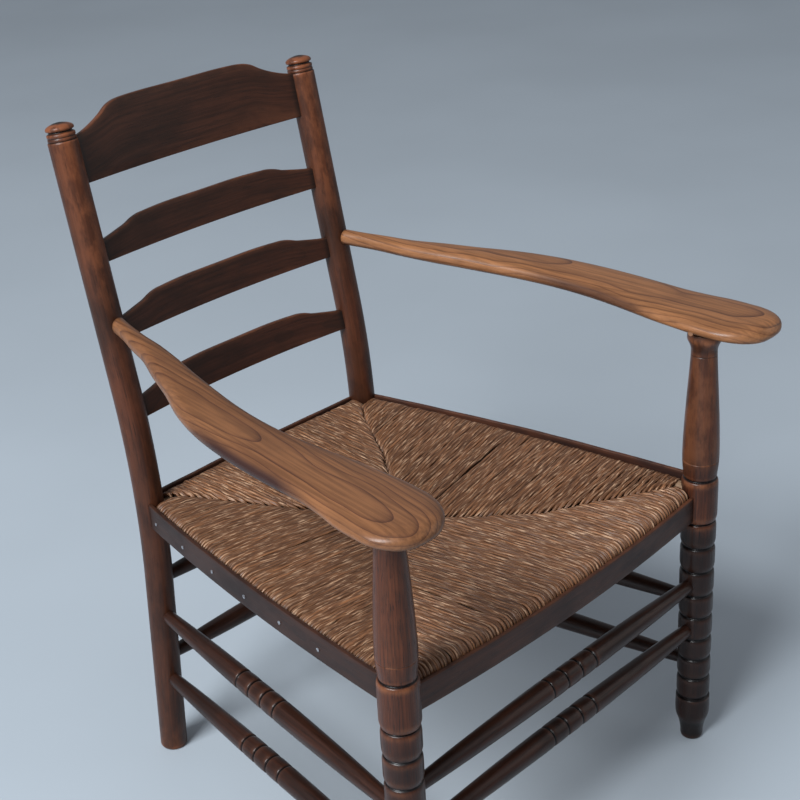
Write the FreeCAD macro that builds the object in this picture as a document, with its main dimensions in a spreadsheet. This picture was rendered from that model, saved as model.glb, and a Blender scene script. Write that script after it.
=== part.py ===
import FreeCAD, Part
import math
import os
import Sketcher

# A ladderback armchair with a rush seat, in millimetres.
# +Z is up, the chair faces -Y, and left means the -X side, as seen from the front.
# Heights are above the floor. Plan places are worked out from the front post axes,
# and the finished chair is moved so that its bounding box is centred on the origin.

Vector = FreeCAD.Vector
Placement = FreeCAD.Placement
Rotation = FreeCAD.Rotation
UP = Vector(0, 0, 1)

# The driving sizes: alias, value in millimetres or degrees, meaning.
DRIVING_SIZES = [
    ("front_spacing", 560, "distance between the front post axes"),
    ("back_spacing", 392, "distance between the back post axes"),
    ("foot_depth", 543.5, "front post axis to back post axis at the floor"),
    ("back_radius", 18.5, "radius of a back post"),
    ("back_foot_round", 5, "rounding of a back post's foot"),
    ("kick_angle", 3.72, "lean of the lower back post, going forward as it rises"),
    ("rake_angle", 10.81, "lean of the upper back post, going backward as it rises"),
    ("bend_start", 282, "height where the bend of a back post starts"),
    ("bend_radius", 1073, "radius of the bend of a back post"),
    ("upper_length", 338, "top of the bend to the top of the finial, along the post"),
    ("finial_radius", 17.6, "radius of the cap and the rings"),
    ("cap_rise", 6.5, "height of the dome of the cap"),
    ("cap_edge", 2.5, "height of the upright edge of the cap"),
    ("cove_radius", 14.3, "radius at the bottom of the cove under the cap"),
    ("cove_height", 3.6, "height of the cove under the cap"),
    ("ring_height", 4, "height of each ring under the cove"),
    ("ring_groove", 1, "depth of the groove between the rings"),
    ("ring_gap", 1.4, "height of the groove between the rings"),
    ("groove_radius", 19.4, "radius at the bottom of a bobbin groove"),
    ("groove_lip", 1.4, "step from the groove to the lower edge of the bobbin above"),
    ("bobbin_radius", 22.8, "radius of the top bobbin"),
    ("bobbin_taper", 0.1, "radius that each lower bobbin loses"),
    ("bobbin_pitch", 36.6, "height of the top bobbin"),
    ("bobbin_shrink", 0.7, "height that each lower bobbin loses"),
    ("bobbin_top_round", 7, "height of the upper shoulder of a bobbin"),
    ("bobbin_low_round", 9, "height of the lower shoulder of a bobbin"),
    ("foot_tip_radius", 11.8, "radius of a front foot on the floor"),
    ("foot_neck_radius", 15, "radius of a front foot just above the floor"),
    ("foot_tip_height", 4.5, "height of the rounded tip of a front foot"),
    ("foot_taper_top", 43, "height where the taper of a front foot starts"),
    ("foot_hollow", 1.8, "hollow of the taper of a front foot"),
    ("block_bottom", 343, "height of the groove under the seat block"),
    ("block_top", 404.5, "height of the groove over the seat block"),
    ("block_radius", 23.6, "radius of the seat block of a front post"),
    ("support_low_radius", 20.6, "radius at the bottom of the arm support"),
    ("support_radius", 23.3, "largest radius of the arm support"),
    ("support_swell", 440, "height of the largest radius of the arm support"),
    ("support_waist", 563, "height where the arm support is slim again"),
    ("support_waist_radius", 17, "radius of the arm support at its waist"),
    ("collar_bottom", 583, "height where the collar under the arm starts"),
    ("collar_radius", 21.5, "radius of the collar under the arm"),
    ("collar_height", 14, "height over which the collar swells"),
    ("collar_neck_radius", 16.5, "radius of the neck under the collar"),
    ("arm_tenon_radius", 11, "radius of the tenon of a front post in the arm"),
    ("arm_tenon_length", 15, "length of the tenon of a front post in the arm"),
    ("arm_front_height", 617, "height of the middle of the arm over the front post"),
    ("arm_rear_height", 640, "height of the middle of the arm at the back post"),
    ("arm_thickness", 24.5, "thickness of the arm"),
    ("arm_round", 9, "rounding of the arm's edges"),
    ("arm_root_width", 20, "width of the arm where it meets the back post"),
    ("arm_root_tenon_radius", 7, "radius of the tenon of the arm in the back post"),
    ("arm_root_tenon_depth", 16, "depth of the tenon of the arm in the back post"),
    ("arm_rear_outer", 60, "outer edge of the arm past the back post axis at the rear station"),
    ("arm_rear_inner", 19, "inner edge of the arm past the back post axis at the rear station"),
    ("arm_rear_station", 400, "distance of the rear station from the front post axis"),
    ("arm_middle_outer", 38, "outer edge of the arm past the front post axis at the middle"),
    ("arm_middle_inner", 30, "inner edge of the arm inside the front post axis at the middle"),
    ("arm_middle_station", 250, "distance of the middle station from the front post axis"),
    ("arm_fore_outer", 57, "outer edge of the arm past the front post axis at the fore station"),
    ("arm_fore_inner", 25.5, "inner edge of the arm inside the front post axis there"),
    ("arm_fore_station", 110, "distance of the fore station from the front post axis"),
    ("arm_hand_outer", 71.5, "outer edge of the hand past the front post axis"),
    ("arm_hand_inner", 33, "inner edge of the hand inside the front post axis"),
    ("arm_nose_side", 52, "how far forward the outer side of the nose is"),
    ("arm_nose_outer", 66, "outer side of the nose past the front post axis"),
    ("arm_nose_tip", 24, "tip of the nose past the front post axis"),
    ("arm_nose_inner", 17, "inner side of the nose inside the front post axis"),
    ("arm_nose_inner_side", 62, "how far forward the inner side of the nose is"),
    ("arm_nose_length", 82, "how far forward of the front post axis the nose reaches"),
    ("peg_radius", 3.5, "radius of the peg through the arm and the post tenon"),
    ("peg_length", 42, "length of the peg"),
    ("slat_thickness", 8, "thickness of a slat"),
    ("slat_bow", 16, "how far a slat bows backward"),
    ("slat_tenon_depth", 12, "depth of a slat end in the back post"),
    ("crest_bottom", 806.5, "height of the bottom of the crest slat"),
    ("crest_height", 89.1, "height of the crest slat at its middle, along the slope"),
    ("crest_end_height", 59.6, "height of the crest slat at its ends, along the slope"),
    ("crest_shoulder_height", 84, "height of the crest slat at its shoulder"),
    ("crest_shoulder", 118, "distance of the crest shoulder from the middle"),
    ("crest_flat", 88, "half length of the flat top of the crest"),
    ("slat_height", 45.3, "height of a plain slat at its middle, along the slope"),
    ("slat_end_height", 28.5, "height of a plain slat at its ends, along the slope"),
    ("slat_shoulder_height", 43.3, "height of a plain slat at its shoulder"),
    ("slat_shoulder", 112, "distance of the shoulder of a plain slat from the middle"),
    ("slat_flat", 80, "half length of the flat top of a plain slat"),
    ("upper_slat_bottom", 709, "height of the bottom of the upper slat"),
    ("middle_slat_bottom", 611.5, "height of the bottom of the middle slat"),
    ("lower_slat_bottom", 508, "height of the bottom of the lower slat"),
    ("stretcher_end_radius", 8, "radius of a stretcher at its ends"),
    ("stretcher_radius", 14, "radius of a stretcher at its middle"),
    ("stretcher_tip", 4, "distance from the end of a stretcher to the post axis"),
    ("turning_depth", 2, "depth of a turned groove of a stretcher"),
    ("turning_width", 4, "width of a turned groove of a stretcher"),
    ("turning_pitch", 27.5, "distance between the turned grooves of a stretcher"),
    ("front_turning_shift", 7, "how far the rings of a front stretcher sit to the right"),
    ("side_turning_shift", 22, "how far the rings of a side stretcher sit to the rear"),
    ("front_upper_height", 248.9, "height of the upper front stretcher"),
    ("front_lower_height", 179.8, "height of the lower front stretcher"),
    ("side_upper_front", 219, "height of an upper side stretcher at the front"),
    ("side_upper_rear", 225, "height of an upper side stretcher at the rear"),
    ("side_lower_front", 122, "height of a lower side stretcher at the front"),
    ("side_lower_rear", 121, "height of a lower side stretcher at the rear"),
    ("rear_upper_height", 277.5, "height of the upper rear stretcher"),
    ("rear_lower_height", 151, "height of the lower rear stretcher"),
    ("rail_height", 28, "height of a seat rail"),
    ("rail_thickness", 16, "thickness of a seat rail"),
    ("rail_round", 6, "rounding of a seat rail's edges"),
    ("rail_tenon_radius", 6.5, "radius of a seat rail tenon"),
    ("rail_tenon_tip", 5, "distance from the end of a seat rail tenon to the post axis"),
    ("front_rail_height", 371, "height of the middle of the front seat rail"),
    ("side_rail_height", 380, "height of the middle of the other seat rails"),
    ("front_rail_tenon", 366, "height of the tenons of the front seat rail"),
    ("side_rail_front_tenon", 381, "height of the front tenon of a side seat rail"),
    ("side_rail_rear_tenon", 373, "height of the rear tenon of a side seat rail"),
    ("rear_rail_tenon", 387, "height of the tenons of the rear seat rail"),
    ("strip_thickness", 5, "thickness of an edge strip"),
    ("strip_width", 34.4, "width of an edge strip"),
    ("front_strip_bottom", 349, "height of the bottom of the front edge strip"),
    ("side_strip_bottom", 366.5, "height of the bottom of the other edge strips"),
    ("front_strip_offset", 3.8, "outer face of the front strip past the post axes at its ends"),
    ("side_strip_offset", 9, "outer face of the other strips past the post axes at their ends"),
    ("front_strip_bow", 15, "how far the front strip bows outward"),
    ("side_strip_bow", 10, "how far a side strip bows outward"),
    ("rear_strip_bow", 4, "how far the rear strip bows outward"),
    ("strip_arris", 1, "worn bevel along the top of an edge strip"),
    ("nail_radius", 1, "radius of a nail"),
    ("nail_head_radius", 2.4, "radius of a nail head"),
    ("nail_head_height", 0.8, "height of a nail head"),
    ("nail_first", 34, "distance of the rear nail of a side strip from the back post axis"),
    ("nail_pitch", 74, "distance between the nails of a side strip"),
    ("nail_rise", 14, "height of the nails above the bottom of the strip"),
    ("rush_cover", 5, "thickness of the rush over a seat rail"),
    ("rush_front_top", 396, "top of the rush at the front corners"),
    ("rush_rear_top", 402, "top of the rush at the rear corners"),
    ("rush_middle_top", 388, "top of the rush at the middle of the seat"),
    ("rush_front_bottom", 351, "underside of the rush at the front corners"),
    ("rush_rear_bottom", 360, "underside of the rush at the rear corners"),
    ("rush_middle_bottom", 364, "underside of the rush at the middle of the seat"),
    ("rush_round", 9, "rounding of the rush where it turns over the rails"),
    ("rush_clearance", 0.3, "clearance between the rush and its neighbours"),
    ("joint_clearance", 0.1, "clearance round a tenon, and where an end is scribed to a post"),
    ("socket_depth_clearance", 0.5, "clearance past the end of a tenon"),
]
BOBBIN_COUNT = 8
TURNING_COUNT = 4
NAIL_COUNT = 6
SLAT_TRIM = 12
QUARTER_ARC_RISE = 1 - math.sqrt(0.5)


class Size:
    """A number together with the spreadsheet expression that it comes from."""

    def __init__(self, value, text):
        self.value = value
        self.text = text

    def __add__(self, other):
        other = as_size(other)
        return Size(self.value + other.value, f"({self.text} + {other.text})")

    def __sub__(self, other):
        other = as_size(other)
        return Size(self.value - other.value, f"({self.text} - {other.text})")

    def __mul__(self, other):
        other = as_size(other)
        return Size(self.value * other.value, f"({self.text} * {other.text})")

    def __truediv__(self, other):
        other = as_size(other)
        return Size(self.value / other.value, f"({self.text} / {other.text})")

    def __neg__(self):
        return Size(-self.value, f"(0 - {self.text})")


def as_size(number):
    return number if isinstance(number, Size) else Size(float(number), repr(float(number)))


def sine(angle):
    return Size(math.sin(math.radians(angle.value)), f"sin({angle.text})")


def cosine(angle):
    return Size(math.cos(math.radians(angle.value)), f"cos({angle.text})")


def root(size):
    return Size(math.sqrt(size.value), f"sqrt({size.text})")


def arc_radius(chord_squared, rise):
    """Radius of an arc from its chord squared and its rise at the middle."""
    return (chord_squared / 4 + rise * rise) / (rise * 2)


document = FreeCAD.newDocument("ladderback_armchair")
sheet = document.addObject("Spreadsheet::Sheet", "sizes")
size = {}
for row, (alias, number, meaning) in enumerate(DRIVING_SIZES, start=1):
    sheet.set(f"A{row}", meaning)
    sheet.set(f"B{row}", str(number))
    sheet.setAlias(f"B{row}", alias)
    size[alias] = Size(float(number), f"sizes.{alias}")
document.recompute()
sub_parts = []


def millimetres(alias):
    return size[alias].value


# Helpers for bodies, sketches and features.

def new_body(label, placement=None):
    """A body is one sub-part. Its features are drawn in its own frame."""
    body = document.addObject("PartDesign::Body", label)
    body.Label = label
    body.Placement = placement or Placement()
    sub_parts.append(body)
    return body


def new_sketch(body, name, plane_role, offset=None):
    sketch = body.newObject("Sketcher::SketchObject", name)
    plane = [item for item in body.Origin.OriginFeatures if item.Role == plane_role][0]
    sketch.AttachmentSupport = [(plane, "")]
    sketch.MapMode = "FlatFace"
    if offset is not None:
        sketch.AttachmentOffset = offset
    return sketch


def bind(feature, field, amount):
    setattr(feature, field, amount.value)
    feature.setExpression(field, amount.text)


def constrain(sketch, kind, arguments, amount, name):
    index = sketch.addConstraint(Sketcher.Constraint(kind, *arguments, amount.value))
    sketch.renameConstraint(index, name)
    sketch.setExpression("Constraints." + name, amount.text)


def add_outline(sketch, corners, closed=True):
    """Draw lines and arcs through corners, each (across, along, rise of the arc to the next).

    A rise of zero is a straight line. A positive rise bulges to the right of the way drawn.
    A sketch holds each arc the left-hand way round, so a negative rise is drawn backward.
    """
    points = [Vector(as_size(corner[0]).value, as_size(corner[1]).value, 0) for corner in corners]
    count = len(corners)
    edge_count = count if closed else count - 1
    radii = []
    for index in range(edge_count):
        start = points[index]
        end = points[(index + 1) % count]
        rise = as_size(corners[index][2]) if len(corners[index]) > 2 else as_size(0)
        if rise.value == 0:
            sketch.addGeometry(Part.LineSegment(start, end), False)
            radii.append(None)
            continue
        along = (end - start).normalize()
        middle = (start + end) * 0.5 + Vector(along.y, -along.x, 0) * rise.value
        ends = (start, end) if rise.value > 0 else (end, start)
        sketch.addGeometry(Part.Arc(ends[0], middle, ends[1]), False)
        across = as_size(corners[(index + 1) % count][0]) - corners[index][0]
        upward = as_size(corners[(index + 1) % count][1]) - corners[index][1]
        radius = arc_radius(across * across + upward * upward, rise)
        radii.append(radius if rise.value > 0 else -radius)

    drawn_backward = [len(corner) > 2 and as_size(corner[2]).value < 0 for corner in corners]

    def end_number(edge, corner_index):
        return 1 if (corner_index == edge) != drawn_backward[edge] else 2

    joined = [(index - 1, index) for index in range(0 if closed else 1, edge_count)]
    for before, after in joined:
        edge_before = before % edge_count
        constraint = Sketcher.Constraint("Coincident", edge_before, end_number(edge_before, after),
                                         after, end_number(after, after))
        sketch.addConstraint(constraint)
    for index in range(count):
        edge = min(index, edge_count - 1)
        point = end_number(edge, index)
        for kind, axis, amount in (("DistanceX", -2, corners[index][0]), ("DistanceY", -1, corners[index][1])):
            if isinstance(amount, Size):
                constrain(sketch, kind, (-1, 1, edge, point), amount, f"{kind}_{index}")
            else:
                sketch.addConstraint(Sketcher.Constraint("PointOnObject", edge, point, axis))
    for index, radius in enumerate(radii):
        if radius is not None:
            constrain(sketch, "Radius", (index,), radius, f"Radius_{index}")


def add_revolution(body, name, sketch, axis):
    feature = body.newObject("PartDesign::Revolution", name)
    feature.Profile = sketch
    feature.ReferenceAxis = axis
    feature.Angle = 360
    return feature


def turn(body, name, corners):
    """Turn a profile, given as radius, height and rise of the arc, round the body's Z axis."""
    sketch = new_sketch(body, name + "_profile", "XZ_Plane")
    add_outline(sketch, corners)
    return add_revolution(body, name, sketch, (sketch, ["V_Axis"]))


def add_pad(body, name, sketch, length, centred=False):
    feature = body.newObject("PartDesign::Pad", name)
    feature.Profile = sketch
    bind(feature, "Length", length)
    feature.Midplane = centred
    return feature


def place_between(body, start, end):
    """Placement, in the body's frame, of a shape along Z from start towards end in the chair."""
    in_chair = Placement(start, Rotation(UP, end - start))
    return body.Placement.inverse().multiply(in_chair)


def add_rod(body, kind, name, radius, start, end):
    """Add or cut a rod between two places in the chair. Kind is Additive or Subtractive."""
    rod = body.newObject(f"PartDesign::{kind}Cylinder", name)
    bind(rod, "Radius", radius)
    rod.Height = (end - start).Length
    rod.Placement = place_between(body, start, end)
    return rod


# Places on the posts.

half_front = millimetres("front_spacing") / 2
half_back = millimetres("back_spacing") / 2
kick = size["kick_angle"]
rake = size["rake_angle"]
bend_start_depth = size["foot_depth"] - size["bend_start"] * sine(kick) / cosine(kick)
bend_end_depth = bend_start_depth + size["bend_radius"] * (cosine(kick) - cosine(rake))
bend_end = size["bend_start"] + size["bend_radius"] * (sine(kick) + sine(rake))


def back_post_lean(height):
    """Angle of the back post from upright at a height, positive where it leans backward."""
    sine_of_lean = (height - millimetres("bend_start")) / millimetres("bend_radius") - sine(kick).value
    lean = math.degrees(math.asin(sine_of_lean))
    return max(-kick.value, min(rake.value, lean))


def back_post_axis(side, height):
    """The place on the axis of a back post at a height."""
    lean = math.radians(back_post_lean(height))
    if height < millimetres("bend_start"):
        depth = millimetres("foot_depth") + height * math.tan(lean)
    elif height < bend_end.value:
        depth = bend_start_depth.value + millimetres("bend_radius") * (cosine(kick).value - math.cos(lean))
    else:
        depth = bend_end_depth.value + (height - bend_end.value) * math.tan(lean)
    return Vector(side * half_back, depth, height)


def back_post_direction(height):
    lean = math.radians(back_post_lean(height))
    return Vector(0, math.sin(lean), math.cos(lean))


def front_post_axis(side, height):
    return Vector(side * half_front, 0, height)


def towards(start, end, distance):
    return start + (end - start).normalize() * distance


# Stretchers. Each is a turned rod between two posts, and its ends sit in round sockets.

STRETCHERS = {
    "stretcher_front_upper": (front_post_axis(-1, millimetres("front_upper_height")),
                              front_post_axis(1, millimetres("front_upper_height")), "front_turning_shift"),
    "stretcher_front_lower": (front_post_axis(-1, millimetres("front_lower_height")),
                              front_post_axis(1, millimetres("front_lower_height")), "front_turning_shift"),
    "stretcher_left_upper": (front_post_axis(-1, millimetres("side_upper_front")),
                             back_post_axis(-1, millimetres("side_upper_rear")), "side_turning_shift"),
    "stretcher_right_upper": (front_post_axis(1, millimetres("side_upper_front")),
                              back_post_axis(1, millimetres("side_upper_rear")), "side_turning_shift"),
    "stretcher_left_lower": (front_post_axis(-1, millimetres("side_lower_front")),
                             back_post_axis(-1, millimetres("side_lower_rear")), "side_turning_shift"),
    "stretcher_right_lower": (front_post_axis(1, millimetres("side_lower_front")),
                              back_post_axis(1, millimetres("side_lower_rear")), "side_turning_shift"),
    "stretcher_rear_upper": (back_post_axis(-1, millimetres("rear_upper_height")),
                             back_post_axis(1, millimetres("rear_upper_height")), None),
    "stretcher_rear_lower": (back_post_axis(-1, millimetres("rear_lower_height")),
                             back_post_axis(1, millimetres("rear_lower_height")), None),
}


def post_radius_at(place):
    """Radius of the post whose axis passes through a place."""
    on_front_post = abs(place.y) < 1e-6
    return size["block_radius"] if on_front_post else size["back_radius"]


def make_stretcher(label, start, end, shift_name):
    """A turned stretcher swells in one long arc from each end to its middle."""
    length = (end - start).Length
    middle = (start + end) * 0.5
    body = new_body(label, Placement(middle, Rotation(UP, end - start)))
    half = as_size(length / 2)
    end_radius = size["stretcher_end_radius"]
    tip = half - size["stretcher_tip"]
    low_face = half - post_radius_at(start)
    high_face = half - post_radius_at(end)
    swell = size["stretcher_radius"] - end_radius
    turn(body, "swelling_rod", [
        (0, -tip),
        (end_radius, -tip),
        (end_radius, -low_face, swell),
        (end_radius, high_face),
        (end_radius, tip),
        (0, tip),
    ])
    if shift_name is None:
        return body
    sketch = new_sketch(body, "turning_profile", "XZ_Plane")
    first = size[shift_name] - size["turning_pitch"] * ((TURNING_COUNT - 1) / 2)
    outside = size["stretcher_radius"] + size["turning_depth"]
    half_width = size["turning_width"]
    add_outline(sketch, [
        (size["stretcher_radius"] - size["turning_depth"], first),
        (outside, first - half_width),
        (outside, first + half_width),
    ])
    groove = body.newObject("PartDesign::Groove", "turned_groove")
    groove.Profile = sketch
    groove.ReferenceAxis = (sketch, ["V_Axis"])
    groove.Angle = 360
    pattern = body.newObject("PartDesign::LinearPattern", "turned_grooves")
    pattern.Originals = [groove]
    pattern.Direction = (sketch, ["V_Axis"])
    bind(pattern, "Length", size["turning_pitch"] * (TURNING_COUNT - 1))
    pattern.Occurrences = TURNING_COUNT
    body.Tip = pattern
    return body


for label, (start, end, shift_name) in STRETCHERS.items():
    make_stretcher(label, start, end, shift_name)


def cut_stretcher_sockets(body, is_front_post, side):
    """Cut a socket for each stretcher that ends on this post's axis."""
    radius = size["stretcher_end_radius"] + size["joint_clearance"]
    short = millimetres("stretcher_tip") - millimetres("socket_depth_clearance")
    for label, (start, end, _) in STRETCHERS.items():
        for here, there in ((start, end), (end, start)):
            on_front_post = abs(here.y) < 1e-6
            if on_front_post == is_front_post and here.x * side > 0:
                bottom = towards(here, there, short)
                add_rod(body, "Subtractive", label + "_socket", radius, bottom,
                        towards(here, there, 2 * millimetres("block_radius")))


# The seat frame. Each side of the seat has a rail and an edge strip between the same two posts.

seat_height = as_size(millimetres("side_rail_height"))


def seat_corner(front, side):
    if front:
        return front_post_axis(side, seat_height.value)
    return back_post_axis(side, seat_height.value)


# Side of the seat: the two posts, so that the right-hand way from start to end is inside.
SEAT_SIDES = {
    "front": ((True, 1), (True, -1)),
    "left": ((True, -1), (False, -1)),
    "rear": ((False, -1), (False, 1)),
    "right": ((False, 1), (True, 1)),
}
STRIP_BOWS = {"front": "front_strip_bow", "left": "side_strip_bow", "rear": "rear_strip_bow",
              "right": "side_strip_bow"}


def is_front(name):
    return name == "front"


def strip_offset(name):
    return size["front_strip_offset"] if is_front(name) else size["side_strip_offset"]


def side_frame(name, height):
    """Placement whose X axis runs between the two posts and whose Y axis points outward."""
    start, end = (seat_corner(*post) for post in SEAT_SIDES[name])
    along = end - start
    angle = math.degrees(math.atan2(along.y, along.x))
    middle = (start + end) * 0.5
    return Placement(Vector(middle.x, middle.y, height), Rotation(UP, angle)), along.Length


def rail_tenon_height(name, front):
    if name == "front":
        return millimetres("front_rail_tenon")
    if name == "rear":
        return millimetres("rear_rail_tenon")
    return millimetres("side_rail_front_tenon" if front else "side_rail_rear_tenon")


def rail_inset(name):
    """How far the middle of a rail lies inside the line between the post axes."""
    outside = strip_offset(name) - size["strip_thickness"] - size["rush_clearance"]
    return size["rush_cover"] + size["rail_thickness"] / 2 - outside


def rail_tenon(name, end_index):
    """The tip of a rail's tenon, and a place on the tenon's axis inside the rail."""
    frame, length = side_frame(name, 0)
    sign = -1 if end_index == 0 else 1
    height = rail_tenon_height(name, SEAT_SIDES[name][end_index][0])
    inset = -rail_inset(name).value
    tip = frame.multVec(Vector(sign * (length / 2 - millimetres("rail_tenon_tip")), inset, height))
    inside = frame.multVec(Vector(sign * (length / 2 - 3 * millimetres("rail_tenon_tip")
                                          - millimetres("block_radius")), inset, height))
    return tip, inside


def scribe_to_posts(body, name):
    """Cut the two ends of a seat side's piece to the round of its posts."""
    reach = 2 * millimetres("strip_width")
    for end_index, (front, side) in enumerate(SEAT_SIDES[name]):
        radius = (size["block_radius"] if front else size["back_radius"]) + size["joint_clearance"]
        place = seat_corner(front, side)
        upward = UP if front else back_post_direction(seat_height.value)
        add_rod(body, "Subtractive", f"scribed_end_{end_index + 1}", radius,
                place - upward * reach, place + upward * reach)


def make_seat_rail(name):
    height = millimetres("front_rail_height" if is_front(name) else "side_rail_height")
    frame, length = side_frame(name, height)
    body = new_body("seat_rail_" + name, frame)
    sketch = new_sketch(body, "rail_section", "YZ_Plane")
    half_thickness = size["rail_thickness"] / 2
    half_height = size["rail_height"] / 2
    inset = -rail_inset(name)
    add_outline(sketch, [
        (inset - half_thickness, -half_height),
        (inset + half_thickness, -half_height),
        (inset + half_thickness, half_height),
        (inset - half_thickness, half_height),
    ])
    rail = add_pad(body, "rail", sketch, as_size(length), True)
    document.recompute()
    long_edges = [f"Edge{number}" for number, edge in enumerate(rail.Shape.Edges, start=1)
                  if edge.Length > length * 0.9]
    rounding = body.newObject("PartDesign::Fillet", "rounded_edges")
    rounding.Base = (rail, long_edges)
    bind(rounding, "Radius", size["rail_round"])
    scribe_to_posts(body, name)
    for end_index in (0, 1):
        tip, inside = rail_tenon(name, end_index)
        add_rod(body, "Additive", f"tenon_{end_index + 1}", size["rail_tenon_radius"], inside, tip)
    return body


def cut_rail_sockets(body, is_front_post, side):
    radius = size["rail_tenon_radius"] + size["joint_clearance"]
    for name, posts in SEAT_SIDES.items():
        for end_index, post in enumerate(posts):
            if post == (is_front_post, side):
                tip, inside = rail_tenon(name, end_index)
                bottom = towards(tip, inside, -millimetres("socket_depth_clearance"))
                add_rod(body, "Subtractive", f"rail_{name}_socket", radius, bottom, inside)


def make_edge_strip(name):
    """A thin strip, bowed outward in one arc, nailed over the rush along a seat rail."""
    bottom = size["front_strip_bottom" if is_front(name) else "side_strip_bottom"]
    frame, length = side_frame(name, bottom.value)
    body = new_body("edge_strip_" + name, frame)
    sketch = new_sketch(body, "strip_section", "XY_Plane")
    half = as_size(length / 2)
    offset = strip_offset(name)
    bow = size[STRIP_BOWS[name]]
    inner = offset - size["strip_thickness"]
    add_outline(sketch, [
        (-half, inner, -bow),
        (half, inner),
        (half, offset, bow),
        (-half, offset),
    ])
    strip = add_pad(body, "strip", sketch, size["strip_width"])
    document.recompute()
    top_edges = [f"Edge{number}" for number, edge in enumerate(strip.Shape.Edges, start=1)
                 if edge.Length > length * 0.9 and edge.CenterOfMass.z > millimetres("strip_width") / 2
                 and edge.CenterOfMass.y > (inner + bow / 2 + size["strip_thickness"] / 2).value]
    bevel = body.newObject("PartDesign::Chamfer", "worn_arris")
    bevel.Base = (strip, top_edges)
    bind(bevel, "Size", size["strip_arris"])
    scribe_to_posts(body, name)
    return body


def strip_face(name, along, height):
    """A place on the outer face of an edge strip, and the outward direction there."""
    frame, length = side_frame(name, 0)
    bow = millimetres(STRIP_BOWS[name])
    radius = arc_radius(as_size(length * length), as_size(bow)).value
    depth = strip_offset(name).value + bow - radius
    outward = math.sqrt(radius * radius - along * along)
    place = frame.multVec(Vector(along, depth + outward, height))
    direction = frame.Rotation.multVec(Vector(along / radius, outward / radius, 0))
    return place, direction


def nail_places():
    """Each nail of a side strip: the place of its head on the strip and the way out."""
    height = millimetres("side_strip_bottom") + millimetres("nail_rise")
    for name, rear_sign in (("left", 1), ("right", -1)):
        _, length = side_frame(name, 0)
        for index in range(NAIL_COUNT):
            from_rear = millimetres("nail_first") + index * millimetres("nail_pitch")
            yield strip_face(name, rear_sign * (length / 2 - from_rear), height)


def nail_tip(place, outward):
    """The point of a nail, half way into the rail behind the strip."""
    depth = (millimetres("strip_thickness") + millimetres("side_strip_bow") + millimetres("rush_cover")
             + millimetres("rail_thickness") / 2)
    return place - outward * depth


def cut_nail_holes(body):
    radius = size["nail_radius"] + size["joint_clearance"]
    for index, (place, outward) in enumerate(nail_places(), start=1):
        if (place.x < 0) != (body.Placement.Base.x < 0):
            continue
        tip = nail_tip(place, outward) - outward * millimetres("socket_depth_clearance")
        add_rod(body, "Subtractive", f"nail_hole_{index}", radius, tip,
                place + outward * millimetres("nail_head_height"))


rails = {name: make_seat_rail(name) for name in SEAT_SIDES}
strips = {name: make_edge_strip(name) for name in SEAT_SIDES}
for name in ("left", "right"):
    cut_nail_holes(rails[name])
    cut_nail_holes(strips[name])


def new_cylinder(name, radius, start, end):
    cylinder = document.addObject("Part::Cylinder", name)
    bind(cylinder, "Radius", radius)
    cylinder.Height = (end - start).Length
    cylinder.Placement = Placement(start, Rotation(UP, end - start))
    return cylinder


def make_strip_nails():
    """The nails of the side strips: a thin shank and a low round head on the strip's face."""
    nails = []
    for index, (place, outward) in enumerate(nail_places(), start=1):
        face = place + outward * millimetres("joint_clearance")
        top = face + outward * millimetres("nail_head_height")
        nail = document.addObject("Part::Fuse", f"nail_{index}")
        nail.Base = new_cylinder(f"nail_shank_{index}", size["nail_radius"], nail_tip(place, outward), face)
        nail.Tool = new_cylinder(f"nail_head_{index}", size["nail_head_radius"], face, top)
        nails.append(nail)
    group = document.addObject("Part::Compound", "strip_nails")
    group.Label = "strip_nails"
    group.Links = nails
    sub_parts.append(group)


make_strip_nails()


# Back posts. One bent rod, with a turned finial, sockets and slat mortises.

def lower_axis(radius, rise):
    """Sketch place of a point at a radius behind the lower post's axis and a rise along it."""
    return (size["foot_depth"] - rise * sine(kick) + radius * cosine(kick),
            rise * cosine(kick) + radius * sine(kick))


def upper_axis(radius, rise):
    """Sketch place of a point at a radius behind the upper post's axis and a rise above the bend."""
    return (bend_end_depth + rise * sine(rake) + radius * cosine(rake),
            bend_end + rise * cosine(rake) - radius * sine(rake))


def foot_corners():
    """Profile of the post below its bend, with a rounded foot that starts under the floor."""
    radius = size["back_radius"]
    rounding = size["back_foot_round"]
    start = -(radius * sine(kick) / cosine(kick))
    top = size["bend_start"] / cosine(kick)
    return [
        (as_size(0), start),
        (radius - rounding, start, rounding * QUARTER_ARC_RISE),
        (radius, start + rounding),
        (radius, top),
        (as_size(0), top),
    ]


def finial_corners():
    """Profile of the post above its bend, with its finial: radius, rise and arc."""
    radius = size["finial_radius"]
    top = size["upper_length"]
    cap_foot = top - size["cap_rise"] - size["cap_edge"]
    cove = cap_foot - size["cove_height"] / 2
    ring_top = cap_foot - size["cove_height"]
    ring_low = ring_top - size["ring_height"]
    second_top = ring_low - size["ring_gap"]
    second_low = second_top - size["ring_height"]
    shaft_top = second_low - size["ring_gap"]
    groove = radius - size["ring_groove"]
    dome_radius = arc_radius(radius * radius * 4, size["cap_rise"])
    half_chord_squared = (radius * radius + size["cap_rise"] * size["cap_rise"]) / 4
    dome_arc_rise = dome_radius - root(dome_radius * dome_radius - half_chord_squared)
    return [
        (as_size(0), as_size(0)),
        (size["back_radius"], as_size(0)),
        (size["back_radius"], shaft_top),
        (groove, shaft_top),
        (radius, second_low),
        (radius, second_top),
        (groove, second_top + size["ring_gap"] / 2),
        (radius, ring_low),
        (radius, ring_top),
        (size["cove_radius"], cove),
        (radius, cap_foot),
        (radius, cap_foot + size["cap_edge"], dome_arc_rise),
        (as_size(0), top),
    ]


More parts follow.
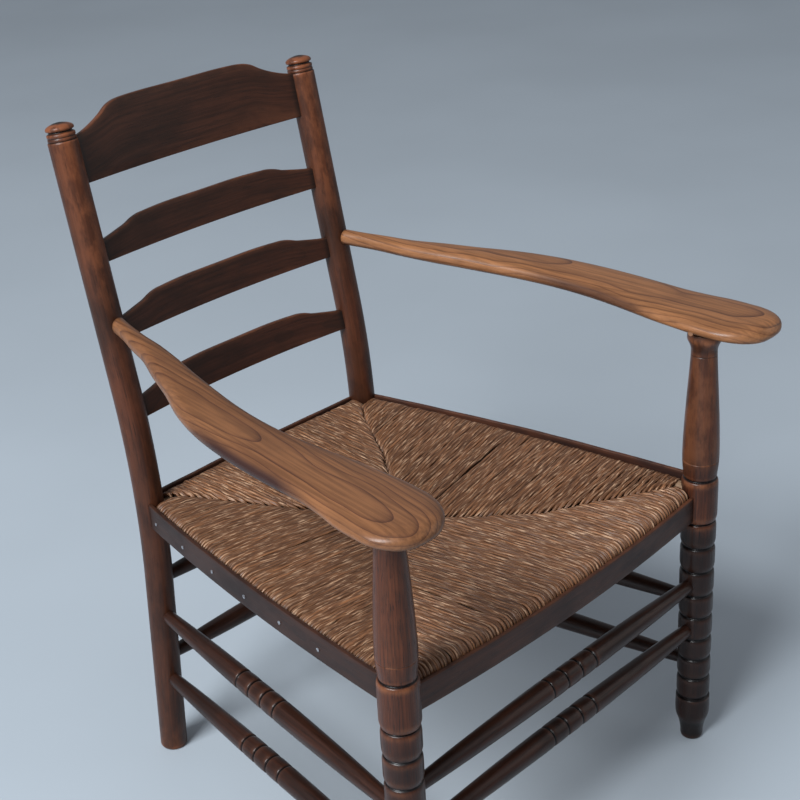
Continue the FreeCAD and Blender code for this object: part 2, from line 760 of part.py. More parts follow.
def turn_about_post(body, name, corners, axis_place):
    """Turn a profile round the post's own axis, which is the line that closes the profile."""
    sketch = new_sketch(body, name + "_profile", "YZ_Plane")
    add_outline(sketch, [axis_place(*corner[:2]) + corner[2:] for corner in corners])
    return add_revolution(body, name, sketch, (sketch, [f"Edge{len(corners)}"]))


def bend_post(body):
    """Turn the post's round section about the centre of the bend."""
    start = Placement(Vector(0, bend_start_depth.value, millimetres("bend_start")),
                      Rotation(Vector(1, 0, 0), kick.value))
    section = new_sketch(body, "bend_section", "XY_Plane", start)
    circle = section.addGeometry(Part.Circle(Vector(), UP, millimetres("back_radius")), False)
    section.addConstraint(Sketcher.Constraint("Coincident", circle, 3, -1, 1))
    constrain(section, "Radius", (circle,), size["back_radius"], "post_radius")
    reach = millimetres("back_radius")
    ends = [Vector(across, millimetres("bend_radius"), 0) for across in (-reach, reach)]
    centre_line = section.addGeometry(Part.LineSegment(*ends), True)
    for end in (1, 2):
        constrain(section, "DistanceY", (-1, 1, centre_line, end), size["bend_radius"], f"bend_centre_{end}")
    bend = add_revolution(body, "bend", section, (section, ["Axis0"]))
    bind(bend, "Angle", kick + rake)
    bend.Reversed = True


def make_back_post(label, side):
    body = new_body(label, Placement(Vector(side * half_back, 0, 0), Rotation()))
    turn_about_post(body, "turned_foot", foot_corners(), lower_axis)
    bend_post(body)
    turn_about_post(body, "turned_top", finial_corners(), upper_axis)
    floor_cut = body.newObject("PartDesign::SubtractiveBox", "level_foot")
    width = millimetres("back_radius") * 4
    floor_cut.Length = width
    floor_cut.Width = width
    floor_cut.Height = width
    floor_cut.Placement = Placement(Vector(-width / 2, millimetres("foot_depth") - width / 2, -width), Rotation())
    cut_stretcher_sockets(body, False, side)
    cut_rail_sockets(body, False, side)
    return body


# Slats. Each is bent backward in one arc, and its straight ends sit in mortises.

slat_frame = Placement(Vector(0, bend_end_depth.value, bend_end.value), Rotation(Vector(1, 0, 0), -rake.value))
half_clear = (size["back_spacing"] / 2) - size["back_radius"]
slat_radius = arc_radius(half_clear * half_clear * 4, size["slat_bow"])
slat_end_sine = half_clear / slat_radius
slat_end_cosine = root(as_size(1) - slat_end_sine * slat_end_sine)

SLATS = {
    "crest_slat": ("crest_bottom", "crest"),
    "upper_slat": ("upper_slat_bottom", "slat"),
    "middle_slat": ("middle_slat_bottom", "slat"),
    "lower_slat": ("lower_slat_bottom", "slat"),
}
CREST_HOLLOWS = {"crest": (2.2, 1.6), "slat": (1.0, 0.6)}


def slat_base(bottom_name):
    """Rise of a slat's bottom above the bend, along the slope of the back."""
    return (size[bottom_name] - bend_end) / cosine(rake)


def make_slat(label, bottom_name, form):
    body = new_body(label, slat_frame)
    bottom = slat_base(bottom_name)
    half_thickness = size["slat_thickness"] / 2
    tenon = size["slat_tenon_depth"]
    band = new_sketch(body, "bent_section", "XY_Plane", Placement(Vector(0, 0, bottom.value), Rotation()))
    band.setExpression("AttachmentOffset.Base.z", bottom.text)

    def end_points(sign, face):
        """The shoulder and the tip of one face of the slat's straight end."""
        across = slat_end_sine * half_thickness * face
        depth = slat_end_cosine * half_thickness * face
        shoulder = ((half_clear + across) * sign, depth)
        tip = ((half_clear + across + slat_end_cosine * tenon) * sign, depth - slat_end_sine * tenon)
        return shoulder, tip

    right_back, right_back_tip = end_points(1, 1)
    left_back, left_back_tip = end_points(-1, 1)
    right_front, right_front_tip = end_points(1, -1)
    left_front, left_front_tip = end_points(-1, -1)
    rise_back = (slat_radius + half_thickness) * (as_size(1) - slat_end_cosine)
    rise_front = (slat_radius - half_thickness) * (as_size(1) - slat_end_cosine)
    add_outline(band, [
        left_front_tip,
        left_front + (-rise_front,),
        right_front,
        right_front_tip,
        right_back_tip,
        right_back + (rise_back,),
        left_back,
        left_back_tip,
    ])
    slat = add_pad(body, "bent_board", band, size[form + "_height"] + SLAT_TRIM)
    outline = new_sketch(body, "top_outline", "XZ_Plane")
    end_top = bottom + size[form + "_end_height"]
    shoulder_top = bottom + size[form + "_shoulder_height"]
    top = bottom + size[form + "_height"]
    above = top + 2 * SLAT_TRIM
    outside = half_clear + tenon * 2
    hollow, crown = CREST_HOLLOWS[form]
    add_outline(outline, [
        (-outside, end_top),
        (-half_clear, end_top, as_size(hollow)),
        (-size[form + "_shoulder"], shoulder_top, as_size(-crown)),
        (-size[form + "_flat"], top),
        (size[form + "_flat"], top, as_size(-crown)),
        (size[form + "_shoulder"], shoulder_top, as_size(hollow)),
        (half_clear, end_top),
        (outside, end_top),
        (outside, above),
        (-outside, above),
    ])
    trim = body.newObject("PartDesign::Pocket", "shaped_top")
    trim.Profile = outline
    trim.Midplane = True
    trim.Length = 8 * millimetres("slat_bow")
    return body, slat


slats = {label: make_slat(label, *choice) for label, choice in SLATS.items()}


def cut_slat_mortises(body, side):
    """Cut a slanting mortise for the end of each slat."""
    clearance = size["joint_clearance"]
    tilt = -side * math.degrees(math.asin(slat_end_sine.value))
    for label, (bottom_name, form) in SLATS.items():
        mortise = body.newObject("PartDesign::SubtractiveBox", label + "_mortise")
        length = size["slat_tenon_depth"] * 2 + size["socket_depth_clearance"]
        bind(mortise, "Length", length)
        bind(mortise, "Width", size["slat_thickness"] + clearance * 2)
        bind(mortise, "Height", size[form + "_end_height"] + clearance * 2)
        corner = Vector(-millimetres("slat_tenon_depth") if side > 0 else -millimetres("slat_tenon_depth")
                        - millimetres("socket_depth_clearance"),
                        -(millimetres("slat_thickness") / 2 + clearance.value), -clearance.value)
        shoulder = Placement(Vector(side * half_clear.value, 0, slat_base(bottom_name).value), Rotation(UP, tilt))
        in_chair = slat_frame.multiply(shoulder).multiply(Placement(corner, Rotation()))
        mortise.Placement = body.Placement.inverse().multiply(in_chair)


# Arms. Each is a shaped board with rounded edges, tenoned into the back post.

arm_slope = math.degrees(math.atan2(millimetres("arm_rear_height") - millimetres("arm_front_height"),
                                    back_post_axis(1, millimetres("arm_rear_height")).y))
arm_frame = Placement(Vector(0, 0, millimetres("arm_front_height")), Rotation(Vector(1, 0, 0), arm_slope))


def arm_root_place(side, reach):
    """A place on the middle line of the arm's root, a distance short of the back post axis."""
    axis = back_post_axis(side, millimetres("arm_rear_height"))
    return arm_frame.inverse().multVec(axis) - Vector(0, reach, 0)


def make_arm(label, side):
    body = new_body(label, arm_frame)
    root_length = arm_root_place(side, millimetres("back_radius") / 2).y
    root_half = millimetres("arm_root_width") / 2
    points = [
        (half_back + root_half, root_length),
        (half_back + millimetres("arm_rear_outer"), millimetres("arm_rear_station")),
        (half_front + millimetres("arm_middle_outer"), millimetres("arm_middle_station")),
        (half_front + millimetres("arm_fore_outer"), millimetres("arm_fore_station")),
        (half_front + millimetres("arm_hand_outer"), 0),
        (half_front + millimetres("arm_nose_outer"), -millimetres("arm_nose_side")),
        (half_front + millimetres("arm_nose_tip"), -millimetres("arm_nose_length")),
        (half_front - millimetres("arm_nose_inner"), -millimetres("arm_nose_inner_side")),
        (half_front - millimetres("arm_hand_inner"), 0),
        (half_front - millimetres("arm_fore_inner"), millimetres("arm_fore_station")),
        (half_front - millimetres("arm_middle_inner"), millimetres("arm_middle_station")),
        (half_back + millimetres("arm_rear_inner"), millimetres("arm_rear_station")),
        (half_back - root_half, root_length),
    ]
    corners = [Vector(side * across, along, 0) for across, along in points]
    edge_curve = Part.BSplineCurve()
    edge_curve.interpolate(corners)
    sketch = new_sketch(body, "arm_outline", "XY_Plane")
    sketch.addGeometry(edge_curve, False)
    sketch.addGeometry(Part.LineSegment(corners[-1], corners[0]), False)
    sketch.addConstraint(Sketcher.Constraint("Coincident", 0, 2, 1, 1))
    sketch.addConstraint(Sketcher.Constraint("Coincident", 1, 2, 0, 1))
    board = add_pad(body, "arm_board", sketch, size["arm_thickness"], True)
    document.recompute()
    long_edges = [f"Edge{number}" for number, edge in enumerate(board.Shape.Edges, start=1)
                  if edge.Length > 3 * millimetres("arm_root_width")]
    rounding = body.newObject("PartDesign::Fillet", "rounded_edges")
    rounding.Base = (board, long_edges)
    bind(rounding, "Radius", size["arm_round"])
    axis = back_post_axis(side, millimetres("arm_rear_height"))
    upward = back_post_direction(millimetres("arm_rear_height"))
    reach = 2 * millimetres("arm_thickness")
    add_rod(body, "Subtractive", "scribed_root", size["back_radius"] + size["joint_clearance"],
            axis - upward * reach, axis + upward * reach)
    tip, inside = arm_tenon(side)
    add_rod(body, "Additive", "root_tenon", size["arm_root_tenon_radius"], inside, tip)
    seat = front_post_axis(side, collar_top.value + millimetres("joint_clearance"))
    add_rod(body, "Subtractive", "collar_seat", size["collar_radius"] + size["socket_depth_clearance"],
            seat - UP * millimetres("arm_thickness"), seat)
    socket_top = front_post_axis(side, tenon_top.value + millimetres("socket_depth_clearance"))
    add_rod(body, "Subtractive", "post_socket", size["arm_tenon_radius"] + size["joint_clearance"],
            seat - UP * millimetres("arm_thickness"), socket_top)
    cut_peg_hole(body, side)
    return body


def arm_tenon(side):
    """Tip of the arm's root tenon in the back post, and a place on its axis inside the arm."""
    surface = millimetres("back_radius")
    tip = arm_frame.multVec(arm_root_place(side, surface - millimetres("arm_root_tenon_depth")))
    inside = arm_frame.multVec(arm_root_place(side, surface + millimetres("arm_root_width")))
    return tip, inside


collar_top = size["arm_front_height"] - size["arm_thickness"] / 2
tenon_top = collar_top + size["arm_tenon_length"]


def peg_line(side):
    """Both ends of the peg that is driven through the arm from its inner side."""
    height = (collar_top.value + tenon_top.value) / 2
    depth = 0
    inner = Vector(side * (half_front - millimetres("arm_hand_inner") + 1), depth, height)
    return inner, inner + Vector(side * millimetres("peg_length"), 0, 0)


def cut_peg_hole(body, side):
    inner, outer = peg_line(side)
    clear = Vector(side * millimetres("socket_depth_clearance"), 0, 0)
    add_rod(body, "Subtractive", "peg_hole", size["peg_radius"] + size["joint_clearance"],
            inner - clear * 20, outer + clear)


# Front posts. Bobbin legs, a seat block, a tapering arm support and a tenon for the arm.

def bobbin_grooves():
    """Heights of the grooves, from the one under the seat block down to the foot."""
    heights = [size["block_bottom"]]
    for index in range(BOBBIN_COUNT):
        heights.append(heights[-1] - (size["bobbin_pitch"] - size["bobbin_shrink"] * index))
    return heights


def make_front_post(label, side):
    body = new_body(label, Placement(front_post_axis(side, 0), Rotation()))
    grooves = bobbin_grooves()
    groove = size["groove_radius"]
    lip = size["groove_lip"]
    low_radius = size["bobbin_radius"] - size["bobbin_taper"] * BOBBIN_COUNT
    corners = [
        (0, 0),
        (size["foot_tip_radius"], 0, (size["foot_neck_radius"] - size["foot_tip_radius"]) / 4),
        (size["foot_neck_radius"], size["foot_tip_height"], -size["foot_hollow"]),
        (low_radius, size["foot_taper_top"]),
    ]
    for index in range(BOBBIN_COUNT, -1, -1):
        height = grooves[index]
        below = size["bobbin_radius"] - size["bobbin_taper"] * (index - 1) if index else size["block_radius"]
        radius = size["bobbin_radius"] - size["bobbin_taper"] * index
        above = size["block_radius"] if index == 0 else size["bobbin_radius"] - size["bobbin_taper"] * (index - 1)
        corners += [
            (radius, height - size["bobbin_top_round"]),
            (groove + lip, height - lip),
            (groove, height),
            (groove + lip, height + lip / 2),
            (above, height + size["bobbin_low_round"]),
        ]
    top = size["block_top"]
    corners += [
        (size["block_radius"], top - size["bobbin_top_round"]),
        (groove + lip, top - lip),
        (groove, top),
        (size["support_low_radius"], top + lip),
        (size["support_radius"], size["support_swell"]),
        (size["support_waist_radius"], size["support_waist"]),
        (size["collar_neck_radius"], size["collar_bottom"]),
        (size["collar_radius"], size["collar_bottom"] + size["collar_height"]),
        (size["collar_radius"], collar_top - lip),
        (size["collar_radius"] - lip, collar_top),
        (size["arm_tenon_radius"], collar_top),
        (size["arm_tenon_radius"], tenon_top),
        (0, tenon_top),
    ]
    turn(body, "turned_post", corners)
    cut_stretcher_sockets(body, True, side)
    cut_rail_sockets(body, True, side)
    cut_peg_hole(body, side)
    return body


for name, side in (("left", -1), ("right", 1)):
    make_front_post("front_post_" + name, side)
    back_post = make_back_post("back_post_" + name, side)
    cut_slat_mortises(back_post, side)
    tip, inside = arm_tenon(side)
    add_rod(back_post, "Subtractive", "arm_socket", size["arm_root_tenon_radius"] + size["joint_clearance"],
            towards(tip, inside, -millimetres("socket_depth_clearance")), inside)
    make_arm("arm_" + name, side)


def make_arm_pegs():
    pegs = [new_cylinder(f"arm_peg_{name}", size["peg_radius"], *peg_line(side))
            for name, side in (("left", -1), ("right", 1))]
    group = document.addObject("Part::Compound", "arm_pegs")
    group.Label = "arm_pegs"
    group.Links = pegs
    sub_parts.append(group)


make_arm_pegs()
document.recompute()


# The rush seat. A closed dished form: four panels that slope to the middle, over the rails.

def rush_outline():
    """Wire of the seat's edge: each side follows the inner face of its strip."""
    circles = []
    middles = []
    for name in SEAT_SIDES:
        frame, length = side_frame(name, 0)
        offset = (strip_offset(name) - size["strip_thickness"] - size["rush_clearance"]).value
        start = frame.multVec(Vector(-length / 2, offset, 0))
        middle = frame.multVec(Vector(0, offset + millimetres(STRIP_BOWS[name]), 0))
        end = frame.multVec(Vector(length / 2, offset, 0))
        circles.append(Part.Circle(start, middle, end))
        middles.append(middle)
    corners = []
    for index, name in enumerate(SEAT_SIDES):
        post = seat_corner(*SEAT_SIDES[name][0])
        post.z = 0
        crossings = [Vector(point.X, point.Y, point.Z) for point in circles[index - 1].intersect(circles[index])]
        corners.append(min(crossings, key=lambda crossing: (crossing - post).Length))
    edges = [Part.Arc(corners[index], middles[index], corners[(index + 1) % len(corners)]).toShape()
             for index in range(len(corners))]
    return Part.Wire(edges)


def panel_column(corners, level):
    """The space between a triangular panel and a level plane beyond it."""
    raised = [Vector(corner.x, corner.y, level) for corner in corners]
    faces = [Part.Face(Part.makePolygon(corners + corners[:1])), Part.Face(Part.makePolygon(raised + raised[:1]))]
    for index in range(3):
        following = (index + 1) % 3
        wall = [corners[index], corners[following], raised[following], raised[index], corners[index]]
        faces.append(Part.Face(Part.makePolygon(wall)))
    column = Part.Solid(Part.Shell(faces))
    return column if column.Volume > 0 else column.reversed()


def make_rush_seat():
    outline = Part.Face(rush_outline())
    low = millimetres("rush_front_bottom")
    high = millimetres("rush_rear_top")
    outline.translate(Vector(0, 0, low))
    seat = outline.extrude(Vector(0, 0, high - low))
    rim = [edge for edge in seat.Edges if edge.Length > half_back]
    seat = seat.makeFillet(millimetres("rush_round"), rim)
    posts = [seat_corner(*SEAT_SIDES[name][0]) for name in SEAT_SIDES]
    centre = Vector(0, sum(post.y for post in posts) / len(posts), 0)
    spread = 1.5
    for top, level, names in ((True, high + 10, ("rush_front_top", "rush_rear_top", "rush_middle_top")),
                              (False, low - 10, ("rush_front_bottom", "rush_rear_bottom", "rush_middle_bottom"))):
        front, rear, middle = (millimetres(name) for name in names)
        hub = Vector(centre.x, centre.y, middle)
        tools = []
        for name in SEAT_SIDES:
            ring = []
            for post_front, side in SEAT_SIDES[name]:
                corner = seat_corner(post_front, side)
                corner.z = front if post_front else rear
                ring.append(hub + (corner - hub) * spread)
            tools.append(panel_column([hub] + ring, level))
        seat = seat.cut(tools)
    clearance = millimetres("rush_clearance")
    reach = 2 * millimetres("strip_width")
    notches = []
    for name in SEAT_SIDES:
        post_front, side = SEAT_SIDES[name][0]
        radius = millimetres("block_radius" if post_front else "back_radius") + clearance
        upward = UP if post_front else back_post_direction(seat_height.value)
        base = seat_corner(post_front, side) - upward * reach
        notches.append(Part.makeCylinder(radius, 2 * reach, base, upward))
        frame, length = side_frame(name, millimetres("front_rail_height" if is_front(name) else "side_rail_height"))
        thickness = millimetres("rail_thickness") + 2 * clearance
        height = millimetres("rail_height") + 2 * clearance
        tunnel = Part.makeBox(length, thickness, height,
                              Vector(-length / 2, -rail_inset(name).value - thickness / 2, -height / 2))
        long_edges = [edge for edge in tunnel.Edges if edge.Length > length * 0.9]
        tunnel = tunnel.makeFillet(millimetres("rail_round"), long_edges)
        tunnel.Placement = frame
        notches.append(tunnel)
    for place, outward in nail_places():
        tip = nail_tip(place, outward)
        notches.append(Part.makeCylinder(millimetres("nail_radius") + clearance, (place - tip).Length, tip, outward))
    seat = seat.cut(notches)
    rush = document.addObject("Part::Feature", "rush_seat")
    rush.Label = "rush_seat"
    rush.Shape = seat.removeSplitter()
    sub_parts.append(rush)


make_rush_seat()
document.recompute()


def centre_on_origin():
    """Move every sub-part so that the chair's bounding box is centred over the origin."""
    boxes = [part.Shape.optimalBoundingBox(False) for part in sub_parts]
    middle = (min(box.YMin for box in boxes) + max(box.YMax for box in boxes)) / 2
    shift = Placement(Vector(0, -middle, 0), Rotation())
    for part in sub_parts:
        part.Placement = shift.multiply(part.Placement)
    document.recompute()


centre_on_origin()


def check_model():
    """Stop if any feature failed or any sub-part is not a sound solid."""
    for item in document.Objects:
        if "Invalid" in item.State or "Error" in item.State:
            raise RuntimeError(f"{item.Label} failed: {item.State}")
    for part in sub_parts:
        if part.Shape.isNull() or not part.Shape.isValid():
            raise RuntimeError(f"{part.Label} has no valid shape")
        if not part.Shape.Solids:
            raise RuntimeError(f"{part.Label} has no solid")


check_model()
os.makedirs("parts", exist_ok=True)
for part in sub_parts:
    part.Shape.exportStep(f"parts/{part.Label}.step")
    box = part.Shape.optimalBoundingBox(False)
    print(f"{part.Label:24s} solids {len(part.Shape.Solids):2d} volume {part.Shape.Volume / 1000:9.2f} cm3"
          f"  x {box.XMin:7.1f} {box.XMax:7.1f}  y {box.YMin:7.1f} {box.YMax:7.1f}  z {box.ZMin:6.1f} {box.ZMax:6.1f}")
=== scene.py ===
import math

import bpy
import numpy as np
from bpy.props import FloatProperty, FloatVectorProperty, PointerProperty
from mathutils import Matrix, Vector


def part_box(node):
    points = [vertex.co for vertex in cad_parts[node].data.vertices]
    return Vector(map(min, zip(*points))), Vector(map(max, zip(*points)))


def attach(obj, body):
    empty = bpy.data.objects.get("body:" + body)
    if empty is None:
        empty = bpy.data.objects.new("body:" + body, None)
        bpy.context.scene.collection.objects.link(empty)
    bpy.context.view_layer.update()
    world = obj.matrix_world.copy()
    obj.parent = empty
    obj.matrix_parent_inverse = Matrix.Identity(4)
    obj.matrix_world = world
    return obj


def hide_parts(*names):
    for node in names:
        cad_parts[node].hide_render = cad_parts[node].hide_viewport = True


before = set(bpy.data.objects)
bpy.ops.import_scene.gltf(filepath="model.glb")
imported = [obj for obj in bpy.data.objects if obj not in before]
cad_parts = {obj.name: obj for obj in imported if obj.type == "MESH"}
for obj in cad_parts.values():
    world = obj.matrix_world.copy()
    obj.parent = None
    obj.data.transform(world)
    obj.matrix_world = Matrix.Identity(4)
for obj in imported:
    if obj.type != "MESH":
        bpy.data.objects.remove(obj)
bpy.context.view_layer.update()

# Looks of a turned ladderback armchair with a rush seat.
# Lengths are in millimetres. Depth runs backward from the front post axes, across runs to
# the right as seen from the front, and up runs up from the floor. to_frame turns them into metres.

bl_info = {
    "name": "Ladderback Armchair",
    "version": (1, 0, 0),
    "blender": (4, 5, 0),
    "location": "3D View > Sidebar > Chair",
    "description": "Dresses the frame of a ladderback armchair with turned wood and a rush seat",
    "category": "Add Mesh",
}

MILLIMETRE = 0.001
SIDES = (("left", -1), ("right", 1))


def middle_of(node):
    """Middle of a node's box, in metres."""
    low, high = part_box(node)
    return (np.array(low) + np.array(high)) / 2


FRONT_HALF = abs(middle_of("front_post_right")[0]) / MILLIMETRE
BACK_HALF = abs(middle_of("back_post_right")[0]) / MILLIMETRE
FRONT_DEPTH = middle_of("front_post_right")[1]

# Sizes of the posts.
FOOT_DEPTH = 543.5
BACK_RADIUS = 18.5
KICK = math.radians(3.72)
RAKE = math.radians(10.81)
BEND_START = 282.0
BEND_RADIUS = 1073.0
UPPER_LENGTH = 338.0
BEND_START_DEPTH = FOOT_DEPTH - BEND_START * math.tan(KICK)
BEND_END_DEPTH = BEND_START_DEPTH + BEND_RADIUS * (math.cos(KICK) - math.cos(RAKE))
BEND_END = BEND_START + BEND_RADIUS * (math.sin(KICK) + math.sin(RAKE))
FRONT_RADIUS = 23.6
SEAT_HEIGHT = 390.0


# Numbers as whole arrays.

def smooth_curve(at, knots, values):
    """Cubic curve through values at knots, with the slope at a knot taken from its neighbours."""
    at, knots, values = (np.asarray(item, float) for item in (at, knots, values))
    slopes = np.gradient(values, knots)
    index = np.clip(np.searchsorted(knots, at) - 1, 0, len(knots) - 2)
    width = knots[index + 1] - knots[index]
    share = np.clip((at - knots[index]) / width, 0, 1)
    square, cube = share ** 2, share ** 3
    return (values[index] * (2 * cube - 3 * square + 1) + values[index + 1] * (3 * square - 2 * cube)
            + width * slopes[index] * (cube - 2 * square + share)
            + width * slopes[index + 1] * (cube - square))


def step_between(at, low, high):
    """Zero below low and one above high, with a smooth step between them."""
    share = np.clip((np.asarray(at, float) - low) / (high - low), 0, 1)
    return share * share * (3 - 2 * share)


def to_frame(places):
    """Metres in the frame, whose depths start at the middle of the chair."""
    return np.asarray(places, float) * MILLIMETRE + np.array([0, FRONT_DEPTH, 0])


def back_axis(height):
    """Depth of a back post's axis at heights below the end of its bend."""
    height = np.asarray(height, float)
    lean = np.arcsin(np.clip((height - BEND_START) / BEND_RADIUS, 0, None) - math.sin(KICK))
    bent = BEND_START_DEPTH + BEND_RADIUS * (math.cos(KICK) - np.cos(lean))
    return np.where(height < BEND_START, FOOT_DEPTH - height * math.tan(KICK), bent)


# Meshes.

def add_piece(name, places, faces, material, slot, replaces=(), **attributes):
    """Make a mesh from places in millimetres. An attribute is one number or vector per place."""
    mesh = bpy.data.meshes.new(name)
    mesh.from_pydata(to_frame(places).tolist(), [], faces)
    mesh.polygons.foreach_set("use_smooth", np.ones(len(mesh.polygons), bool))
    for field, values in attributes.items():
        values = np.asarray(values, np.float32)
        is_vector = values.ndim == 2
        layer = mesh.attributes.new(field, "FLOAT_VECTOR" if is_vector else "FLOAT", "POINT")
        layer.data.foreach_set("vector" if is_vector else "value", values.ravel())
    mesh.materials.append(material)
    mesh.update()
    piece = bpy.data.objects.new(name, mesh)
    bpy.context.scene.collection.objects.link(piece)
    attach(piece, "root")
    if replaces:
        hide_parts(*replaces)
    return piece


def ring_faces(rows, columns, first=0, caps=True):
    """Faces of a tube of rows of places, each row a closed ring, with a flat cap at each end."""
    row, column = np.meshgrid(np.arange(rows - 1), np.arange(columns), indexing="ij")
    beside = (column + 1) % columns
    quads = np.stack([row * columns + column, row * columns + beside,
                      (row + 1) * columns + beside, (row + 1) * columns + column], axis=-1)
    faces = (quads.reshape(-1, 4) + first).tolist()
    if caps:
        faces.append((np.arange(columns)[::-1] + first).tolist())
        faces.append((np.arange(columns) + (rows - 1) * columns + first).tolist())
    return faces


def turned_places(centres, directions, radii, sides, reference=(1, 0, 0)):
    """Circles of the given radii, square to the directions, round the centres.

    A place is its centre plus its radius times the cosine of the angle towards the reference
    and the sine of the angle towards the third direction.
    """
    along = np.asarray(directions, float)
    across = np.asarray(reference, float) - along * (along @ np.asarray(reference, float))[:, None]
    across /= np.linalg.norm(across, axis=1)[:, None]
    third = np.cross(along, across)
    angle = np.arange(sides) * 2 * math.pi / sides
    spokes = (np.cos(angle)[None, :, None] * across[:, None, :]
              + np.sin(angle)[None, :, None] * third[:, None, :])
    places = centres[:, None, :] + spokes * radii[:, None, None]
    grain = np.stack([np.cos(angle)[None, :] * radii[:, None], np.sin(angle)[None, :] * radii[:, None],
                      np.zeros((len(radii), sides))], axis=-1)
    return places, grain


GROOVE_REACH = 9.0
DIRTY_DEPTH = 0.8
TRACE_STEP = 0.5


def hollow_and_proud(distance, radii, reach):
    """How far each radius is under and over the mean of those within a reach: two arrays."""
    steps = np.arange(distance[0], distance[-1], TRACE_STEP)
    even = np.interp(steps, distance, radii)
    window = np.hanning(int(reach / TRACE_STEP) * 2 + 3)
    mean = np.convolve(np.pad(even, len(window) // 2, "edge"), window / window.sum(), "valid")
    change = radii - np.interp(distance, steps, mean[:len(steps)])
    return np.clip(-change, 0, None), np.clip(change, 0, None)


POST_SIDES = 56
STRETCHER_SIDES = 40


def add_turned_piece(name, centres, directions, radii, distance, material, slot, sides=POST_SIDES,
                     grain_start=0.0, extra_wear=0.0, extra_darkening=0.0, reference=(1, 0, 0)):
    """A turned piece whose grooves are dirty and whose proud edges are worn. Extra darkening given to it is
    added on top; on the front legs it is painted shade.
    """
    places, grain = turned_places(centres, directions, radii, sides, reference)
    grain[:, :, 2] = distance[:, None]
    grain = grain * MILLIMETRE + np.array([0, 0, grain_start])
    hollow, proud = hollow_and_proud(distance, radii, GROOVE_REACH)
    dirt = np.repeat(np.clip(hollow / DIRTY_DEPTH, 0, 1), sides)
    # Extra darkening adds to the dirty grooves: painted shade on the front legs, and on the back posts a
    # dirty joint and darkening towards the floor.
    dirt = dirt + np.broadcast_to(extra_darkening, places.shape[:2]).ravel()
    wear = np.repeat(np.clip(proud, 0, 1), sides)
    wear = wear + np.broadcast_to(extra_wear, places.shape[:2]).ravel()
    places[:, :, 2] = np.maximum(places[:, :, 2], 0)
    return add_piece(name, places.reshape(-1, 3), ring_faces(len(radii), sides), material, slot, (name,),
                     grain=grain.reshape(-1, 3), wear=wear, dirt=dirt)


# Shader helpers.

def add_node(tree, kind, inputs=None, **settings):
    """A node whose inputs are links where they are sockets and plain values where they aren't."""
    made = tree.nodes.new(kind)
    for field, value in settings.items():
        setattr(made, field, value)
    for socket, value in (inputs or {}).items():
        if isinstance(value, bpy.types.NodeSocket):
            tree.links.new(value, made.inputs[socket])
        else:
            made.inputs[socket].default_value = value
    return made


def calculate(tree, operation, first, second=0.0, third=0.0, clamp=False):
    """The result of one step of arithmetic."""
    made = add_node(tree, "ShaderNodeMath", {0: first, 1: second, 2: third}, operation=operation)
    made.use_clamp = clamp
    return made.outputs[0]


def mix_colours(tree, share, first, second, blend="MIX"):
    """The first colour turned into the second by a share."""
    made = add_node(tree, "ShaderNodeMix", data_type="RGBA", blend_type=blend)
    for socket, value in ((made.inputs[0], share), (made.inputs[6], first), (made.inputs[7], second)):
        if isinstance(value, bpy.types.NodeSocket):
            tree.links.new(value, socket)
        else:
            socket.default_value = value
    return made.outputs[2]


def step_nodes(tree, value, low, high, start=0.0, end=1.0):
    """Start below low and end above high, with a smooth step between them."""
    made = add_node(tree, "ShaderNodeMapRange", {0: value, 1: low, 2: high, 3: start, 4: end})
    made.interpolation_type = "SMOOTHSTEP"
    return made.outputs[0]


def scale_colour(tree, colour, level):
    """A colour times a number."""
    grey = add_node(tree, "ShaderNodeCombineColor", {0: level, 1: level, 2: level}).outputs[0]
    return mix_colours(tree, 1.0, colour, grey, "MULTIPLY")


def opaque(colour, level=1.0):
    """Four channels of a colour times a level."""
    return tuple(channel * level for channel in colour) + (1.0,)


def add_noise(tree, place, stretch, detail=2.0, roughness=0.5, distortion=0.0):
    """Noise whose features are one over the stretch in size along each axis, in metres."""
    scaled = add_node(tree, "ShaderNodeVectorMath", {0: place, 1: stretch}, operation="MULTIPLY")
    made = add_node(tree, "ShaderNodeTexNoise", {"Vector": scaled.outputs[0], "Scale": 1.0, "Detail": detail,
                                                 "Roughness": roughness, "Distortion": distortion})
    return made.outputs["Fac"]


LOOK_OUTPUTS = (("Color", "Color"), ("Roughness", "Float"), ("Height", "Float"))


def new_look(name, inputs):
    """A node group that puts out a colour, a roughness and a height. Inputs are (name, kind, default)."""
    group = bpy.data.node_groups.new(name, "ShaderNodeTree")
    for label, kind, default in inputs:
        socket = group.interface.new_socket(label, in_out="INPUT", socket_type="NodeSocket" + kind)
        if default is not None:
            socket.default_value = default
    for label, kind in LOOK_OUTPUTS:
        group.interface.new_socket(label, in_out="OUTPUT", socket_type="NodeSocket" + kind)
    given = group.nodes.new("NodeGroupInput")
    result = group.nodes.new("NodeGroupOutput")
    return group, given.outputs, result.inputs


def put_out(group, result, *values):
    """Link a look's colour, roughness and height to its outputs."""
    for (label, kind), value in zip(LOOK_OUTPUTS, values):
        group.links.new(value, result[label])
    return group


def new_material(name):
    """An empty material with a Principled surface."""
    material = bpy.data.materials.new(name)
    material.use_nodes = True
    tree = material.node_tree
    tree.nodes.clear()
    surface = tree.nodes.new("ShaderNodeBsdfPrincipled")
    result = tree.nodes.new("ShaderNodeOutputMaterial")
    tree.links.new(surface.outputs[0], result.inputs["Surface"])
    return material, tree, surface


def read_fields(tree, look, fields):
    """Feed a look with the piece's own attributes, which have its inputs' names in small letters."""
    for field, output in fields:
        reading = add_node(tree, "ShaderNodeAttribute", attribute_name=field)
        tree.links.new(reading.outputs[output], look.inputs[field.capitalize()])


